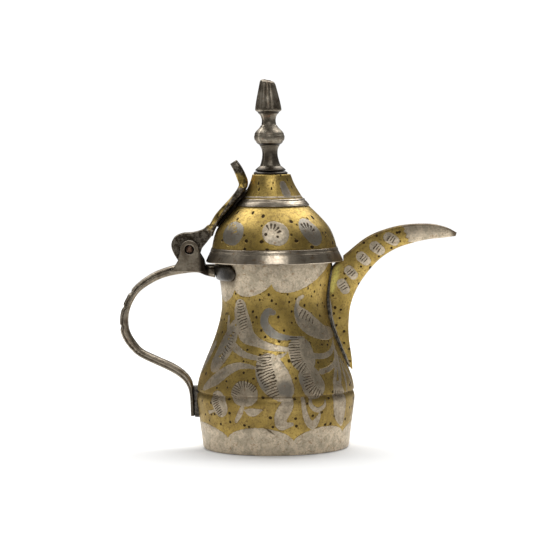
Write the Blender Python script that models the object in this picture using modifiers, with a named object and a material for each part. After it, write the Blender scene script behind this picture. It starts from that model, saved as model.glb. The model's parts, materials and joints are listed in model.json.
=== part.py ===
"""Dallah: a small brass and tin coffee pot with a crescent beak and a hinged lid.

The pot stands on Z = 0 with its axis on Z. The beak points to +X, the handle to -X.
Lengths below are in millimetres; MM turns them into Blender's metres.
"""
import math

import bmesh
import bpy
from mathutils import Matrix, Vector

MM = 0.001
GAP = 0.3  # clearance between neighbouring pieces
SLOPED_GAP = 0.36  # the same between turned walls, whose facets stand a little off the round

# Driving dimensions of the pot body
BODY_STEPS = 48
SHEET = 0.9
SEAM_Z = 26.2
SEAM_LAP = 2.6
MOUTH_Z = 89.4
BODY_UPPER_OUTLINE = [(26.2, MOUTH_Z), (25.8, 82.0), (24.4, 74.0), (23.7, 66.0), (24.7, 58.0),
                      (27.4, 49.0), (31.1, 40.0), (34.3, 32.0), (35.5, SEAM_Z)]
BODY_LOWER_OUTLINE = [(35.55, SEAM_Z - GAP), (35.6, 22.5), (35.1, 18.5), (34.5, 14.0), (33.8, 8.5),
                      (32.8, 0.0)]
BASE_THICK = 1.0
BEAK_HOLE_WIDTH = 5.4
BEAK_HOLE_LOW_Z = 43.0
BEAK_HOLE_TOP_Z = 78.0
BEAK_HOLE_X = 29.0

# Driving dimensions of the lid, which was raised by hand and leans a little to the handle
LID_STEPS = 44
LID_SHEET = 0.9
LID_BASE_Z = 90.0
DOME_LEAN = -math.tan(math.radians(1.8))
DOME_TOP_Z = 122.9
DOME_OUTLINE = [(8.55, DOME_TOP_Z), (9.4, 120.0), (10.6, 117.3), (12.2, 114.5), (15.4, 109.5),
                (18.5, 106.4), (21.1, 103.7), (23.5, 101.0), (25.45, 98.3), (26.6, 95.5),
                (27.4, 92.9), (28.0, LID_BASE_Z)]
RIM_OUTLINE = [(28.3, 89.7), (28.8, 88.4), (29.5, 86.9), (30.3, 85.3), (30.9, 83.7)]
RIM_THICK = 1.0
RING_TOP_Z = 112.1
RING_LOW_Z = 108.7
RING_PROUD = 0.6
RING_SLACK = 0.42  # measured level, across the slope of the dome
RING_BEVEL = 0.2
COLLAR_FLANGE = 1.0
COLLAR_THICK = 1.0
COLLAR_DEPTH = 2.8
COLLAR_RADIUS = 23.8

# Driving dimensions of the hinge
PIN_X = -38.1
PIN_Z = 89.6
PIN_RADIUS = 1.3
PIN_HEAD_RADIUS = 1.75
PIN_HEAD_HALF = 0.2
PIN_SUNK = 0.4  # from the face of the ear down to the head of the pin
EAR_HALF = 6.0
EAR_THICK = 2.2
EAR_RADIUS = 4.1
EAR_LEFT_FLANK = [(-47.0, 79.6), (-44.0, 82.6), (-43.0, 84.8), (-42.2, 88.4)]
EAR_RIGHT_FLANK = [(-33.2, 87.4), (-31.3, 84.2), (-31.2, 81.6), (-30.6, 80.0), (-34.0, 79.4)]
KNUCKLE_HALF = EAR_HALF - EAR_THICK - GAP
SLOT_RADIUS = 8.8
HOLE_RADIUS = PIN_RADIUS + GAP
COUNTERSINK_RADIUS = 2.15
COUNTERSINK_DEPTH = 1.1

# Bow of the handle: x, z, thickness in the side view, half width
HANDLE_STATIONS = [(-27.6, 79.3, 4.6, 4.4), (-34.0, 80.7, 2.8, 5.0), (-41.0, 80.8, 4.2, 4.6),
                   (-49.2, 79.1, 3.9, 4.0), (-55.7, 76.3, 3.7, 4.0), (-61.7, 72.0, 3.4, 4.0),
                   (-65.2, 67.1, 3.5, 4.0), (-67.3, 62.0, 3.6, 4.2), (-68.0, 57.0, 3.8, 4.2),
                   (-67.4, 52.2, 3.9, 4.0), (-65.0, 47.6, 3.8, 4.0), (-60.7, 43.0, 3.4, 4.0),
                   (-53.4, 39.3, 3.4, 4.0), (-46.8, 36.2, 3.5, 4.0), (-41.8, 32.8, 3.2, 4.0),
                   (-39.0, 29.0, 2.6, 4.0), (-37.95, 24.0, 1.4, 4.0), (-37.55, 14.4, 1.3, 4.0)]
FOOT_PAD_TOP_Z = 28.0
FOOT_PAD_LOW_Z = 15.0
FOOT_PAD_TOP_X = -36.9
FOOT_PAD_LOW_X = -36.55
FOOT_PAD_INNER_X = -30.0
FOOT_PAD_HALF = 3.4
SADDLE_LOW_Z = 76.0
SADDLE_TOP_Z = 82.8
SADDLE_THICK = 1.4
SADDLE_HALF_ANGLE = 48.0
SADDLE_END = 0.22  # height of the plate at its very end, as part of its full height

# Strap that carries the lid: x, z, thickness, half width
STRAP_STATIONS = [(-29.6, 96.4, 4.6, 3.5), (-27.6, 99.6, 3.2, 5.2), (-25.2, 103.6, 3.2, 7.0),
                  (-22.2, 107.2, 3.0, 7.5), (-18.7, 111.1, 2.6, 7.5), (-15.3, 115.2, 2.9, 6.6),
                  (-13.6, 118.4, 3.9, 5.6), (-14.4, 121.6, 4.0, 5.4), (-16.1, 125.4, 3.7, 5.6),
                  (-18.0, 128.6, 3.3, 4.8)]
STRAP_BED_HALF = 4.6
STRAP_BED_LOW_Z = 99.5
STRAP_BED_TOP_Z = 116.6
STRAP_BED_INNER_X = -6.0
KNUCKLE_OUTLINE = [(-43.3, 84.9), (-45.4, 88.5), (-46.1, 92.0), (-44.5, 95.1), (-41.0, 96.7),
                   (-36.4, 97.0), (-32.0, 98.4), (-29.4, 100.2), (-27.2, 97.2), (-29.8, 93.2),
                   (-32.6, 90.0), (-34.2, 86.8), (-38.1, 85.4)]

# Crescent beak: keel point, edge point, half width between the edges
BEAK_SHEET = 0.8
BEAK_STATIONS = [((34.8, 34.2), (33.2, 36.0), 1.0), ((34.5, 39.6), (30.0, 40.4), 2.7),
                 ((33.4, 48.0), (26.4, 49.2), 3.6), ((33.2, 55.0), (24.0, 57.2), 4.1),
                 ((34.1, 63.2), (22.6, 66.2), 4.3), ((36.9, 70.9), (23.0, 74.8), 4.5),
                 ((41.1, 77.4), (26.4, 81.0), 4.6), ((47.2, 84.1), (33.4, 87.3), 4.4),
                 ((54.6, 88.8), (43.5, 94.7), 4.1), ((62.7, 91.5), (56.6, 98.9), 3.5),
                 ((69.5, 92.9), (69.2, 99.6), 2.7), ((75.6, 93.5), (77.0, 98.1), 1.8),
                 ((81.6, 94.2), (82.2, 95.7), 0.8)]
BEAK_AROUND = 7  # steps from the keel to an edge
BEAK_BULGE = 0.85  # 1 for an elliptical section, less for fuller cheeks

# Finial, cast in one piece with a threaded stem: radius and height
FINIAL_STEPS = 24
FINIAL_FOOT_Z = 123.95
FINIAL_TOP_Z = 165.5
FINIAL_SHIFT = -0.3  # it was screwed on a little off the dome's centre
FINIAL_LEAN = -math.tan(math.radians(1.55))
FINIAL_OUTLINE = [(2.9, FINIAL_TOP_Z), (3.4, 164.2), (4.9, 157.8), (5.65, 154.2), (6.0, 151.7),
                  (5.5, 150.8), (4.0, 149.7), (3.3, 148.2), (3.1, 146.6), (3.4, 145.1), (4.5, 143.4),
                  (6.0, 142.0), (6.75, 140.6), (6.87, 139.5), (6.6, 138.0), (5.8, 136.9), (4.2, 135.3),
                  (3.55, 133.6), (3.42, 131.6), (3.7, 129.8), (4.15, 128.0), (4.6, 126.9),
                  (5.5, 126.0), (6.5, 125.2), (7.1, 124.6), (7.3, FINIAL_FOOT_Z)]
STEM_RADIUS = 1.6
STEM_LOW_Z = 116.0
SEAT_RADIUS = 8.2
SEAT_DEPTH = 1.4
SPIGOT_SLACK = 0.3
NUT_RADIUS = 3.4
NUT_THICK = 2.4
NUT_SIDES = 6

BRASS = ("brass sheet", (0.38, 0.27, 0.09), 0.42, 1.0)
TIN = ("tinned sheet", (0.42, 0.37, 0.28), 0.40, 1.0)
DARK_CAST = ("dark cast metal", (0.16, 0.135, 0.10), 0.45, 1.0)
GREY_CAST = ("worn grey cast metal", (0.30, 0.26, 0.21), 0.45, 1.0)
IRON = ("dark iron", (0.07, 0.055, 0.045), 0.55, 1.0)
SOLDER = ("dull solder", (0.10, 0.09, 0.08), 0.60, 1.0)


def clear_scene():
    for obj in list(bpy.data.objects):
        bpy.data.objects.remove(obj, do_unlink=True)


def new_collection(name):
    group = bpy.data.collections.new(name)
    bpy.context.scene.collection.children.link(group)
    return group


clear_scene()
PARTS = new_collection("dallah_coffee_pot")
CUTTERS = new_collection("cutters")


def finish_of(spec):
    """Material for a finish given as name, colour, roughness and metallic."""
    name, colour, roughness, metallic = spec
    mat = bpy.data.materials.new(name)
    mat.use_nodes = True
    shader = mat.node_tree.nodes["Principled BSDF"]
    shader.inputs["Base Color"].default_value = (*colour, 1.0)
    shader.inputs["Roughness"].default_value = roughness
    shader.inputs["Metallic"].default_value = metallic
    return mat


def add_object(name, mesh, finish, group=PARTS):
    """Link a mesh as a new object of the pot."""
    obj = bpy.data.objects.new(name, mesh)
    group.objects.link(obj)
    if finish:
        mesh.materials.append(finish_of(finish))
    return obj


def as_cutter(obj):
    obj.hide_render = True
    obj.display_type = "WIRE"
    return obj


def evaluated_mesh(obj):
    graph = bpy.context.evaluated_depsgraph_get()
    return bpy.data.meshes.new_from_object(obj.evaluated_get(graph))


def shade(mesh, angle=40.0):
    mesh.shade_smooth()
    mesh.set_sharp_from_angle(angle=math.radians(angle))


def catmull(points, count):
    """Smooth curve through points of any size, count samples to each span."""
    rows = [Vector(p) for p in points]
    rows = [2 * rows[0] - rows[1]] + rows + [2 * rows[-1] - rows[-2]]
    out = []
    for a, b, c, d in zip(rows, rows[1:], rows[2:], rows[3:]):
        for k in range(count):
            t = k / count
            out.append(0.5 * (2 * b + (c - a) * t + (2 * a - 5 * b + 4 * c - d) * t * t
                              + (3 * b - a - 3 * c + d) * t * t * t))
    out.append(rows[-2])
    return out


def offset_line(line, distance):
    """Move a profile that runs downwards inwards by a distance."""
    out = []
    for i, point in enumerate(line):
        ahead = line[min(i + 1, len(line) - 1)]
        behind = line[max(i - 1, 0)]
        run = (ahead - behind).normalized()
        out.append(point + distance * Vector((run.y, -run.x)))
    return out


def radius_at(line, z):
    """Radius of a downward profile at a height."""
    for upper, lower in zip(line, line[1:]):
        if lower.y <= z <= upper.y:
            t = (upper.y - z) / (upper.y - lower.y)
            return upper.x + t * (lower.x - upper.x)
    return line[0].x if z > line[0].y else line[-1].x


def turned(name, profile, finish, steps, closed=True, group=PARTS):
    """Body of revolution about Z from (radius, z) points that run down the outer side."""
    mesh = bpy.data.meshes.new(name)
    build = bmesh.new()
    verts = [build.verts.new((r * MM, 0.0, z * MM)) for r, z in profile]
    for a, b in zip(verts, verts[1:]):
        build.edges.new((a, b))
    if closed:
        build.edges.new((verts[-1], verts[0]))
    build.to_mesh(mesh)
    build.free()
    obj = add_object(name, mesh, finish, group)
    screw = obj.modifiers.new("turn", "SCREW")
    screw.steps = steps
    screw.render_steps = steps
    screw.use_merge_vertices = True
    screw.merge_threshold = 0.00002
    obj.data = evaluated_mesh(obj)
    obj.modifiers.clear()
    shade(obj.data)
    return obj


def lean(obj, slope, from_z):
    """Shear everything above a height towards the handle."""
    for vert in obj.data.vertices:
        vert.co.x += slope * max(0.0, vert.co.z - from_z * MM)


def plate(name, outline, half, finish, group=PARTS):
    """Flat outline in the X-Z plane, extruded to half its thickness on either side."""
    curve = bpy.data.curves.new(name, "CURVE")
    curve.dimensions = "2D"
    curve.fill_mode = "BOTH"
    curve.extrude = half * MM
    spline = curve.splines.new("POLY")
    spline.points.add(len(outline) - 1)
    for point, (x, z) in zip(spline.points, outline):
        point.co = (x * MM, z * MM, 0.0, 1.0)
    spline.use_cyclic_u = True
    drawn = bpy.data.objects.new(name + "_outline", curve)
    group.objects.link(drawn)
    mesh = evaluated_mesh(drawn)
    bpy.data.objects.remove(drawn)
    mesh.transform(Matrix.Rotation(math.radians(90.0), 4, "X"))
    build = bmesh.new()
    build.from_mesh(mesh)
    bmesh.ops.remove_doubles(build, verts=build.verts, dist=0.00001)
    bmesh.ops.recalc_face_normals(build, faces=build.faces)
    build.to_mesh(mesh)
    build.free()
    return add_object(name, mesh, finish, group)


def rod(name, radius, half, x, z, finish, group=PARTS, sides=28):
    """Round rod along Y, centred on the X-Z plane."""
    mesh = bpy.data.meshes.new(name)
    build = bmesh.new()
    bmesh.ops.create_cone(build, cap_ends=True, segments=sides, radius1=radius * MM,
                          radius2=radius * MM, depth=2.0 * half * MM)
    bmesh.ops.rotate(build, verts=build.verts, matrix=Matrix.Rotation(math.radians(90.0), 3, "X"))
    bmesh.ops.translate(build, verts=build.verts, vec=(x * MM, 0.0, z * MM))
    build.to_mesh(mesh)
    build.free()
    shade(mesh)
    return add_object(name, mesh, finish, group)


def loft(name, rings, finish, group=PARTS):
    """Closed solid through rings of equally many points, capped at both ends."""
    mesh = bpy.data.meshes.new(name)
    build = bmesh.new()
    rows = [[build.verts.new(Vector(p) * MM) for p in ring] for ring in rings]
    for low, high in zip(rows, rows[1:]):
        for i in range(len(low)):
            j = (i + 1) % len(low)
            build.faces.new((low[i], low[j], high[j], high[i]))
    build.faces.new(list(reversed(rows[0])))
    build.faces.new(rows[-1])
    bmesh.ops.recalc_face_normals(build, faces=build.faces)
    build.to_mesh(mesh)
    build.free()
    return add_object(name, mesh, finish, group)


def bar(name, stations, finish, samples=3, corner=0.35, group=PARTS):
    """Bar of changing thickness and width along a smooth path in the X-Z plane."""
    line = catmull(stations, samples)
    rings = []
    for i, here in enumerate(line):
        ahead = line[min(i + 1, len(line) - 1)]
        behind = line[max(i - 1, 0)]
        run = Vector((ahead[0] - behind[0], ahead[1] - behind[1])).normalized()
        side = Vector((-run.y, run.x))
        cut = corner * min(here[2], here[3]) * 0.5
        ring = []
        for across, up in ((-1, -1), (-1, 1), (1, 1), (1, -1)):
            for trim_across, trim_up in ((cut, 0), (0, cut))[::1 if across * up > 0 else -1]:
                half_thick = 0.5 * here[2] - trim_across
                half_wide = here[3] - trim_up
                centre = Vector((here[0], here[1])) + side * across * half_thick
                ring.append((centre.x, up * half_wide, centre.y))
        rings.append(ring)
    obj = loft(name, rings, finish, group)
    shade(obj.data, 50.0)
    return obj


def combine(obj, others, operation):
    """Boolean the others into an object and remove them."""
    for other in others:
        as_cutter(other)
        step = obj.modifiers.new(operation.lower(), "BOOLEAN")
        step.operation = operation
        step.solver = "EXACT"
        step.object = other
    finish = list(obj.data.materials)
    mesh = evaluated_mesh(obj)
    obj.modifiers.clear()
    obj.data = mesh
    mesh.materials.clear()
    mesh.materials.append(finish[0])
    for other in others:
        bpy.data.objects.remove(other)
    shade(mesh, 35.0)
    return obj


UPPER = catmull(BODY_UPPER_OUTLINE, 2)
LOWER = catmull(BODY_LOWER_OUTLINE, 2)
DOME = catmull(DOME_OUTLINE, 2)
RIM = catmull(RIM_OUTLINE, 1)


def make_body():
    inner = offset_line(UPPER, SHEET)
    inner[0].y = MOUTH_Z
    inner[-1].y = SEAM_Z
    upper = turned("body_upper", UPPER + inner[::-1], TIN, BODY_STEPS)
    width = BEAK_HOLE_WIDTH / 2.0
    low = BEAK_HOLE_LOW_Z + width
    top = BEAK_HOLE_TOP_Z - width
    outline = []
    for k in range(9):
        turn = math.pi * k / 8.0
        outline.append((math.cos(turn) * width, top + math.sin(turn) * width))
    for k in range(9):
        turn = math.pi + math.pi * k / 8.0
        outline.append((math.cos(turn) * width, low + math.sin(turn) * width))
    hole = plate("beak_hole", outline, 12.0, None, CUTTERS)
    hole.data.transform(Matrix.Rotation(math.radians(90.0), 4, "Z"))
    hole.data.transform(Matrix.Translation((BEAK_HOLE_X * MM, 0.0, 0.0)))
    combine(upper, [hole], "DIFFERENCE")

    seam_radius = radius_at(UPPER, SEAM_Z + SEAM_LAP) - SHEET - 1.5 * GAP
    tongue = [(seam_radius, SEAM_Z + SEAM_LAP), (seam_radius, SEAM_Z - GAP)]
    inner_low = offset_line(LOWER, SHEET)
    inner_low[-1].y = 0.0
    inside = [tuple(p) for p in inner_low[::-1]][:-1]
    inside += [(seam_radius - SHEET, SEAM_Z - GAP - 0.6), (seam_radius - SHEET, SEAM_Z + SEAM_LAP)]
    turned("body_lower", tongue + [tuple(p) for p in LOWER] + inside, BRASS, BODY_STEPS)

    disc = radius_at(LOWER, 0.0) - SHEET - GAP
    rise = radius_at(LOWER, BASE_THICK) - SHEET - GAP
    turned("base_disc", [(0.0, BASE_THICK), (rise, BASE_THICK), (disc, 0.0), (0.0, 0.0)],
           TIN, BODY_STEPS, closed=False)


def make_beak():
    """Folded sheet whose open edges lie on the body below and are free above."""
    flat = [(*keel, *edge, half) for keel, edge, half in BEAK_STATIONS]
    sections = catmull(flat, 2)
    rings = []
    for keel_x, keel_z, edge_x, edge_z, half in sections:
        keel = Vector((keel_x, keel_z))
        edge = Vector((edge_x, edge_z))
        depth = (keel - edge).length
        outer = []
        inner = []
        wall_half = max(half - BEAK_SHEET, 0.25 * half)
        wall_depth = max(depth - BEAK_SHEET, 0.45 * depth)
        for k in range(-BEAK_AROUND, BEAK_AROUND + 1):
            turn = math.radians(90.0) * k / BEAK_AROUND
            across = math.copysign(abs(math.sin(turn)) ** BEAK_BULGE, turn)
            down = math.cos(turn) ** BEAK_BULGE if abs(k) < BEAK_AROUND else 0.0
            spot = edge + (keel - edge) * down
            outer.append((spot.x, half * across, spot.y))
            spot = edge + (keel - edge).normalized() * wall_depth * down
            inner.append((spot.x, wall_half * across, spot.y))
        rings.append(outer + inner[::-1])
    beak = loft("spout", rings, BRASS)
    reach = offset_line(UPPER, -SLOPED_GAP)
    body = turned("body_clearance", [(0.0, reach[0].y)] + [tuple(p) for p in reach]
                  + [(0.0, reach[-1].y)], None, BODY_STEPS, closed=False, group=CUTTERS)
    low = RIM_OUTLINE[-1][1] - GAP
    swing = RIM_OUTLINE[-1][0] + 0.8
    rim = turned("rim_clearance", [(0.0, DOME_TOP_Z), (swing, DOME_TOP_Z), (swing, low), (0.0, low)],
                 None, BODY_STEPS, closed=False, group=CUTTERS)
    combine(beak, [body, rim], "DIFFERENCE")


def saddle_mesh():
    """Curved plate on the neck with rounded ends."""
    mesh = bpy.data.meshes.new("neck_saddle")
    build = bmesh.new()
    middle = 0.5 * (SADDLE_LOW_Z + SADDLE_TOP_Z)
    half_height = 0.5 * (SADDLE_TOP_Z - SADDLE_LOW_Z)
    round_angle = math.degrees(half_height / radius_at(UPPER, middle))
    rows = []
    columns = 24
    for i in range(columns + 1):
        angle = SADDLE_HALF_ANGLE * math.sin(math.radians(90.0) * (2.0 * i / columns - 1.0))
        past = max(0.0, abs(angle) - SADDLE_HALF_ANGLE + round_angle) / round_angle
        height = half_height * max(SADDLE_END, math.sqrt(max(0.0, 1.0 - past * past)))
        turn = math.radians(180.0 + angle)
        row = []
        for k in range(5):
            z = middle + height * (k / 2.0 - 1.0)
            radius = radius_at(UPPER, z) + SLOPED_GAP
            spot = Vector((radius * math.cos(turn), radius * math.sin(turn), z))
            row.append(build.verts.new(spot * MM))
        rows.append(row)
    for left, right in zip(rows, rows[1:]):
        for k in range(4):
            build.faces.new((left[k], right[k], right[k + 1], left[k + 1]))
    bmesh.ops.recalc_face_normals(build, faces=build.faces)
    build.to_mesh(mesh)
    build.free()
    return mesh


def make_handle():
    saddle = add_object("neck_saddle", saddle_mesh(), DARK_CAST)
    thick = saddle.modifiers.new("plate", "SOLIDIFY")
    thick.thickness = SADDLE_THICK * MM
    thick.offset = 1.0
    saddle.data = evaluated_mesh(saddle)
    saddle.modifiers.clear()
    shade(saddle.data)

    handle = bar("handle", HANDLE_STATIONS, GREY_CAST)
    crown = []
    for k in range(9):
        turn = math.radians(170.0 - 22.0 * k)
        crown.append((PIN_X + EAR_RADIUS * math.cos(turn), PIN_Z + EAR_RADIUS * math.sin(turn)))
    fork = plate("fork", EAR_LEFT_FLANK + crown + EAR_RIGHT_FLANK, EAR_HALF, None, CUTTERS)
    combine(handle, [fork], "UNION")
    slot = rod("slot", SLOT_RADIUS, EAR_HALF - EAR_THICK, PIN_X, PIN_Z, None, CUTTERS, 48)
    bore = rod("bore", HOLE_RADIUS, EAR_HALF + 2.0, PIN_X, PIN_Z, None, CUTTERS)
    sinks = []
    for side in (-1.0, 1.0):
        sink = rod("sink", COUNTERSINK_RADIUS, COUNTERSINK_DEPTH, PIN_X, PIN_Z, None, CUTTERS)
        sink.data.transform(Matrix.Translation((0.0, side * EAR_HALF * MM, 0.0)))
        sinks.append(sink)
    saddle_reach = radius_at(UPPER, SADDLE_TOP_Z) + SADDLE_THICK + 2.0 * SLOPED_GAP
    neck = turned("neck_clearance", [(0.0, MOUTH_Z), (saddle_reach, MOUTH_Z),
                                     (saddle_reach, BODY_UPPER_OUTLINE[3][1]),
                                     (0.0, BODY_UPPER_OUTLINE[3][1])],
                  None, BODY_STEPS, closed=False, group=CUTTERS)
    combine(handle, [slot, bore, neck] + sinks, "DIFFERENCE")

    pad = plate("handle_foot_pad", [(FOOT_PAD_LOW_X, FOOT_PAD_LOW_Z), (FOOT_PAD_TOP_X, FOOT_PAD_TOP_Z),
                                    (FOOT_PAD_INNER_X, FOOT_PAD_TOP_Z),
                                    (FOOT_PAD_INNER_X, FOOT_PAD_LOW_Z)], FOOT_PAD_HALF, SOLDER)
    reach = [Vector((p.x + GAP, p.y)) for p in UPPER[:-1]] + [Vector((p.x + GAP, p.y)) for p in LOWER]
    wall = turned("wall_clearance", [(0.0, UPPER[0].y)] + [tuple(p) for p in reach]
                  + [(0.0, LOWER[-1].y)], None, BODY_STEPS, closed=False, group=CUTTERS)
    combine(pad, [wall], "DIFFERENCE")


def make_hinge_pin():
    """Pin with two peened heads that sit in the countersinks of the ears."""
    head_reach = EAR_HALF - PIN_SUNK
    pin = rod("hinge_pin", PIN_RADIUS, head_reach - 0.5 * PIN_HEAD_HALF, PIN_X, PIN_Z, IRON)
    heads = []
    for side in (-1.0, 1.0):
        head = rod("head", PIN_HEAD_RADIUS, PIN_HEAD_HALF, PIN_X, PIN_Z, None, CUTTERS)
        head.data.transform(Matrix.Translation((0.0, side * (head_reach - PIN_HEAD_HALF) * MM, 0.0)))
        heads.append(head)
    combine(pin, heads, "UNION")


def make_lid():
    inner = offset_line(DOME, LID_SHEET)
    inner[0].y = DOME_TOP_Z
    inner[-1].y = LID_BASE_Z
    dome = turned("lid_dome", DOME + inner[::-1], BRASS, LID_STEPS)
    lean(dome, DOME_LEAN, LID_BASE_Z)

    rim_inner = [Vector((p.x - RIM_THICK, p.y)) for p in RIM]
    rim_inner[0] = Vector((DOME[-1].x - LID_SHEET, RIM[0].y))
    turned("lid_rim_band", RIM + rim_inner[::-1], TIN, LID_STEPS)

    low = radius_at(DOME, RING_LOW_Z)
    top = radius_at(DOME, RING_TOP_Z)
    ring = turned("lid_ring_band", [(top + RING_SLACK, RING_TOP_Z),
                                    (top + RING_PROUD + RING_BEVEL, RING_TOP_Z - RING_BEVEL),
                                    (low + RING_PROUD, RING_LOW_Z + RING_BEVEL),
                                    (low + RING_SLACK, RING_LOW_Z)], TIN, LID_STEPS)
    lean(ring, DOME_LEAN, LID_BASE_Z)

    flange_top = MOUTH_Z + GAP + COLLAR_FLANGE
    flange_out = radius_at(DOME, flange_top + GAP) - LID_SHEET - 2.0 * GAP
    collar_in = COLLAR_RADIUS - COLLAR_THICK
    turned("lid_collar", [(collar_in, flange_top), (flange_out - GAP, flange_top),
                          (flange_out, MOUTH_Z + GAP), (COLLAR_RADIUS, MOUTH_Z + GAP),
                          (COLLAR_RADIUS, MOUTH_Z - COLLAR_DEPTH), (collar_in, MOUTH_Z - COLLAR_DEPTH)],
           TIN, LID_STEPS)


def make_finial():
    """Turned finial, its seat washer on top of the dome and its nut inside the dome."""
    finial_line = catmull(FINIAL_OUTLINE[1:], 2)
    profile = [(0.0, FINIAL_TOP_Z + 0.1), FINIAL_OUTLINE[0]] + [tuple(p) for p in finial_line]
    profile += [(STEM_RADIUS, FINIAL_FOOT_Z), (STEM_RADIUS, STEM_LOW_Z), (0.0, STEM_LOW_Z)]
    finial = turned("finial", profile, DARK_CAST, FINIAL_STEPS, closed=False)

    bore = STEM_RADIUS + GAP
    spigot = DOME_OUTLINE[0][0] - LID_SHEET + FINIAL_SHIFT - GAP - SPIGOT_SLACK
    seat_top = FINIAL_FOOT_Z - GAP
    seat_face = DOME_TOP_Z + GAP
    seat_low = DOME_TOP_Z - SEAT_DEPTH
    seat = turned("finial_seat", [(bore, seat_top), (SEAT_RADIUS, seat_top), (SEAT_RADIUS, seat_face),
                                  (spigot, seat_face), (spigot, seat_low), (bore, seat_low)],
                  DARK_CAST, FINIAL_STEPS)

    nut_top = seat_low - GAP
    nut_low = nut_top - NUT_THICK
    nut = turned("finial_nut", [(bore, nut_top), (NUT_RADIUS, nut_top), (NUT_RADIUS, nut_low),
                                (bore, nut_low)], IRON, NUT_SIDES)
    base_shift = DOME_LEAN * (DOME_TOP_Z - LID_BASE_Z) + FINIAL_SHIFT
    for piece in (finial, seat, nut):
        for vert in piece.data.vertices:
            vert.co.x += base_shift * MM + FINIAL_LEAN * (vert.co.z - DOME_TOP_Z * MM)


def make_strap():
    """Knuckle round the pin, strap over the dome and thumb tab, forged in one piece."""
    strap = bar("lid_strap", STRAP_STATIONS, BRASS, corner=0.3)
    smooth = [tuple(p) for p in catmull(KNUCKLE_OUTLINE + KNUCKLE_OUTLINE[:1], 2)][:-1]
    knuckle = plate("knuckle", smooth, KNUCKLE_HALF, None, CUTTERS)
    combine(strap, [knuckle], "UNION")
    bore = rod("bore", HOLE_RADIUS, EAR_HALF, PIN_X, PIN_Z, None, CUTTERS)
    combine(strap, [bore], "DIFFERENCE")

    under = []
    path = catmull(STRAP_STATIONS, 3)
    for here, ahead in zip(path, path[1:]):
        run = Vector((ahead[0] - here[0], ahead[1] - here[1])).normalized()
        drop = 0.5 * here[2] + GAP
        spot = Vector((here[0] + run.y * drop, here[1] - run.x * drop))
        if STRAP_BED_LOW_Z <= spot.y <= STRAP_BED_TOP_Z:
            under.append(tuple(spot))
    outline = under + [(STRAP_BED_INNER_X, STRAP_BED_TOP_Z), (STRAP_BED_INNER_X, STRAP_BED_LOW_Z)]
    bed = plate("strap_bed", outline, STRAP_BED_HALF, SOLDER)
    skin = offset_line(DOME, -SLOPED_GAP)
    dome = turned("dome_clearance", [(0.0, skin[0].y)] + [tuple(p) for p in skin] + [(0.0, skin[-1].y)],
                  None, LID_STEPS, closed=False, group=CUTTERS)
    top = radius_at(DOME, RING_TOP_Z) + RING_PROUD + RING_BEVEL + GAP
    low = radius_at(DOME, RING_LOW_Z) + RING_PROUD + RING_BEVEL + GAP
    ring = turned("ring_clearance", [(0.0, RING_TOP_Z + GAP), (top, RING_TOP_Z + GAP),
                                     (low, RING_LOW_Z + GAP), (low, RING_LOW_Z - GAP),
                                     (0.0, RING_LOW_Z - GAP)], None, LID_STEPS, closed=False, group=CUTTERS)
    lean(dome, DOME_LEAN, LID_BASE_Z)
    lean(ring, DOME_LEAN, LID_BASE_Z)
    combine(bed, [dome, ring], "DIFFERENCE")


make_body()
make_beak()
make_handle()
make_hinge_pin()
make_lid()
make_finial()
make_strap()
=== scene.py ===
"""Looks of the dallah coffee pot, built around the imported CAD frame.

Shapes are worked out in millimetres in the frame's own axes (+X beak, -X handle, +Z up) and
scaled to metres when their meshes are made. The table, its lights and the world are in metres.
Angles round the pot are in degrees: 0 is the front (-Y), +90 the beak, -90 the handle.
"""
import json
import math

import bmesh
import bpy
import numpy as np
from mathutils import Matrix, Vector
from mathutils.bvhtree import BVHTree


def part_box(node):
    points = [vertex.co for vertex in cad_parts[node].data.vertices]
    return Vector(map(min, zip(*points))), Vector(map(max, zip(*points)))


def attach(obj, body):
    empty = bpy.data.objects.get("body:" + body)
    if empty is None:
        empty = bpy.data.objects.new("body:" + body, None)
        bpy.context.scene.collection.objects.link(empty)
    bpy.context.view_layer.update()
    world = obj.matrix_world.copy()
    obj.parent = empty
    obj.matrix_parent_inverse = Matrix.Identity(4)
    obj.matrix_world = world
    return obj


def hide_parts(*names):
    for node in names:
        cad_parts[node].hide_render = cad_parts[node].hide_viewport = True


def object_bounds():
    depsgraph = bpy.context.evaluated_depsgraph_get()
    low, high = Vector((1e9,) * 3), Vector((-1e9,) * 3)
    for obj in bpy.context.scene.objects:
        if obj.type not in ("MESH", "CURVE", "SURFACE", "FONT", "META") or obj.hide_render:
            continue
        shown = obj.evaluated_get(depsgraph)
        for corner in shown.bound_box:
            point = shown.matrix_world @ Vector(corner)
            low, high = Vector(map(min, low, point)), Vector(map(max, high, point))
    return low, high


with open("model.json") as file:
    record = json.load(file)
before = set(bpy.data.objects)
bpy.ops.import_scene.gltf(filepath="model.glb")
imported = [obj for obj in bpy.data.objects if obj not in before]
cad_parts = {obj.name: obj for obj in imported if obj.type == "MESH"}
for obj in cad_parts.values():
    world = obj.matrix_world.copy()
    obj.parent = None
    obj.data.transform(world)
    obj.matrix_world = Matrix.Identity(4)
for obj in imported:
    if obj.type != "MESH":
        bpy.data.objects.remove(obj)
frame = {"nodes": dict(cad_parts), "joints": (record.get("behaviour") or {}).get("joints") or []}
cad_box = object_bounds()

MM = 0.001
HINGE = frame["joints"][0]
PIN = Vector(HINGE["pos_m"]) / MM


# ---------------------------------------------------------------- camera, stage and light

VIEW_WIDTH = 239.85  # width of the picture at the distance of the point aimed at
SENSOR_WIDTH = 36.0
CAMERA_AIM = (-3.6, 0.0, 81.3)
CAMERA_AWAY = 1125.0
CAMERA_HEIGHT = 155.0
CAMERA_ROLL = -0.55
NEAREST = 0.01

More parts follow.
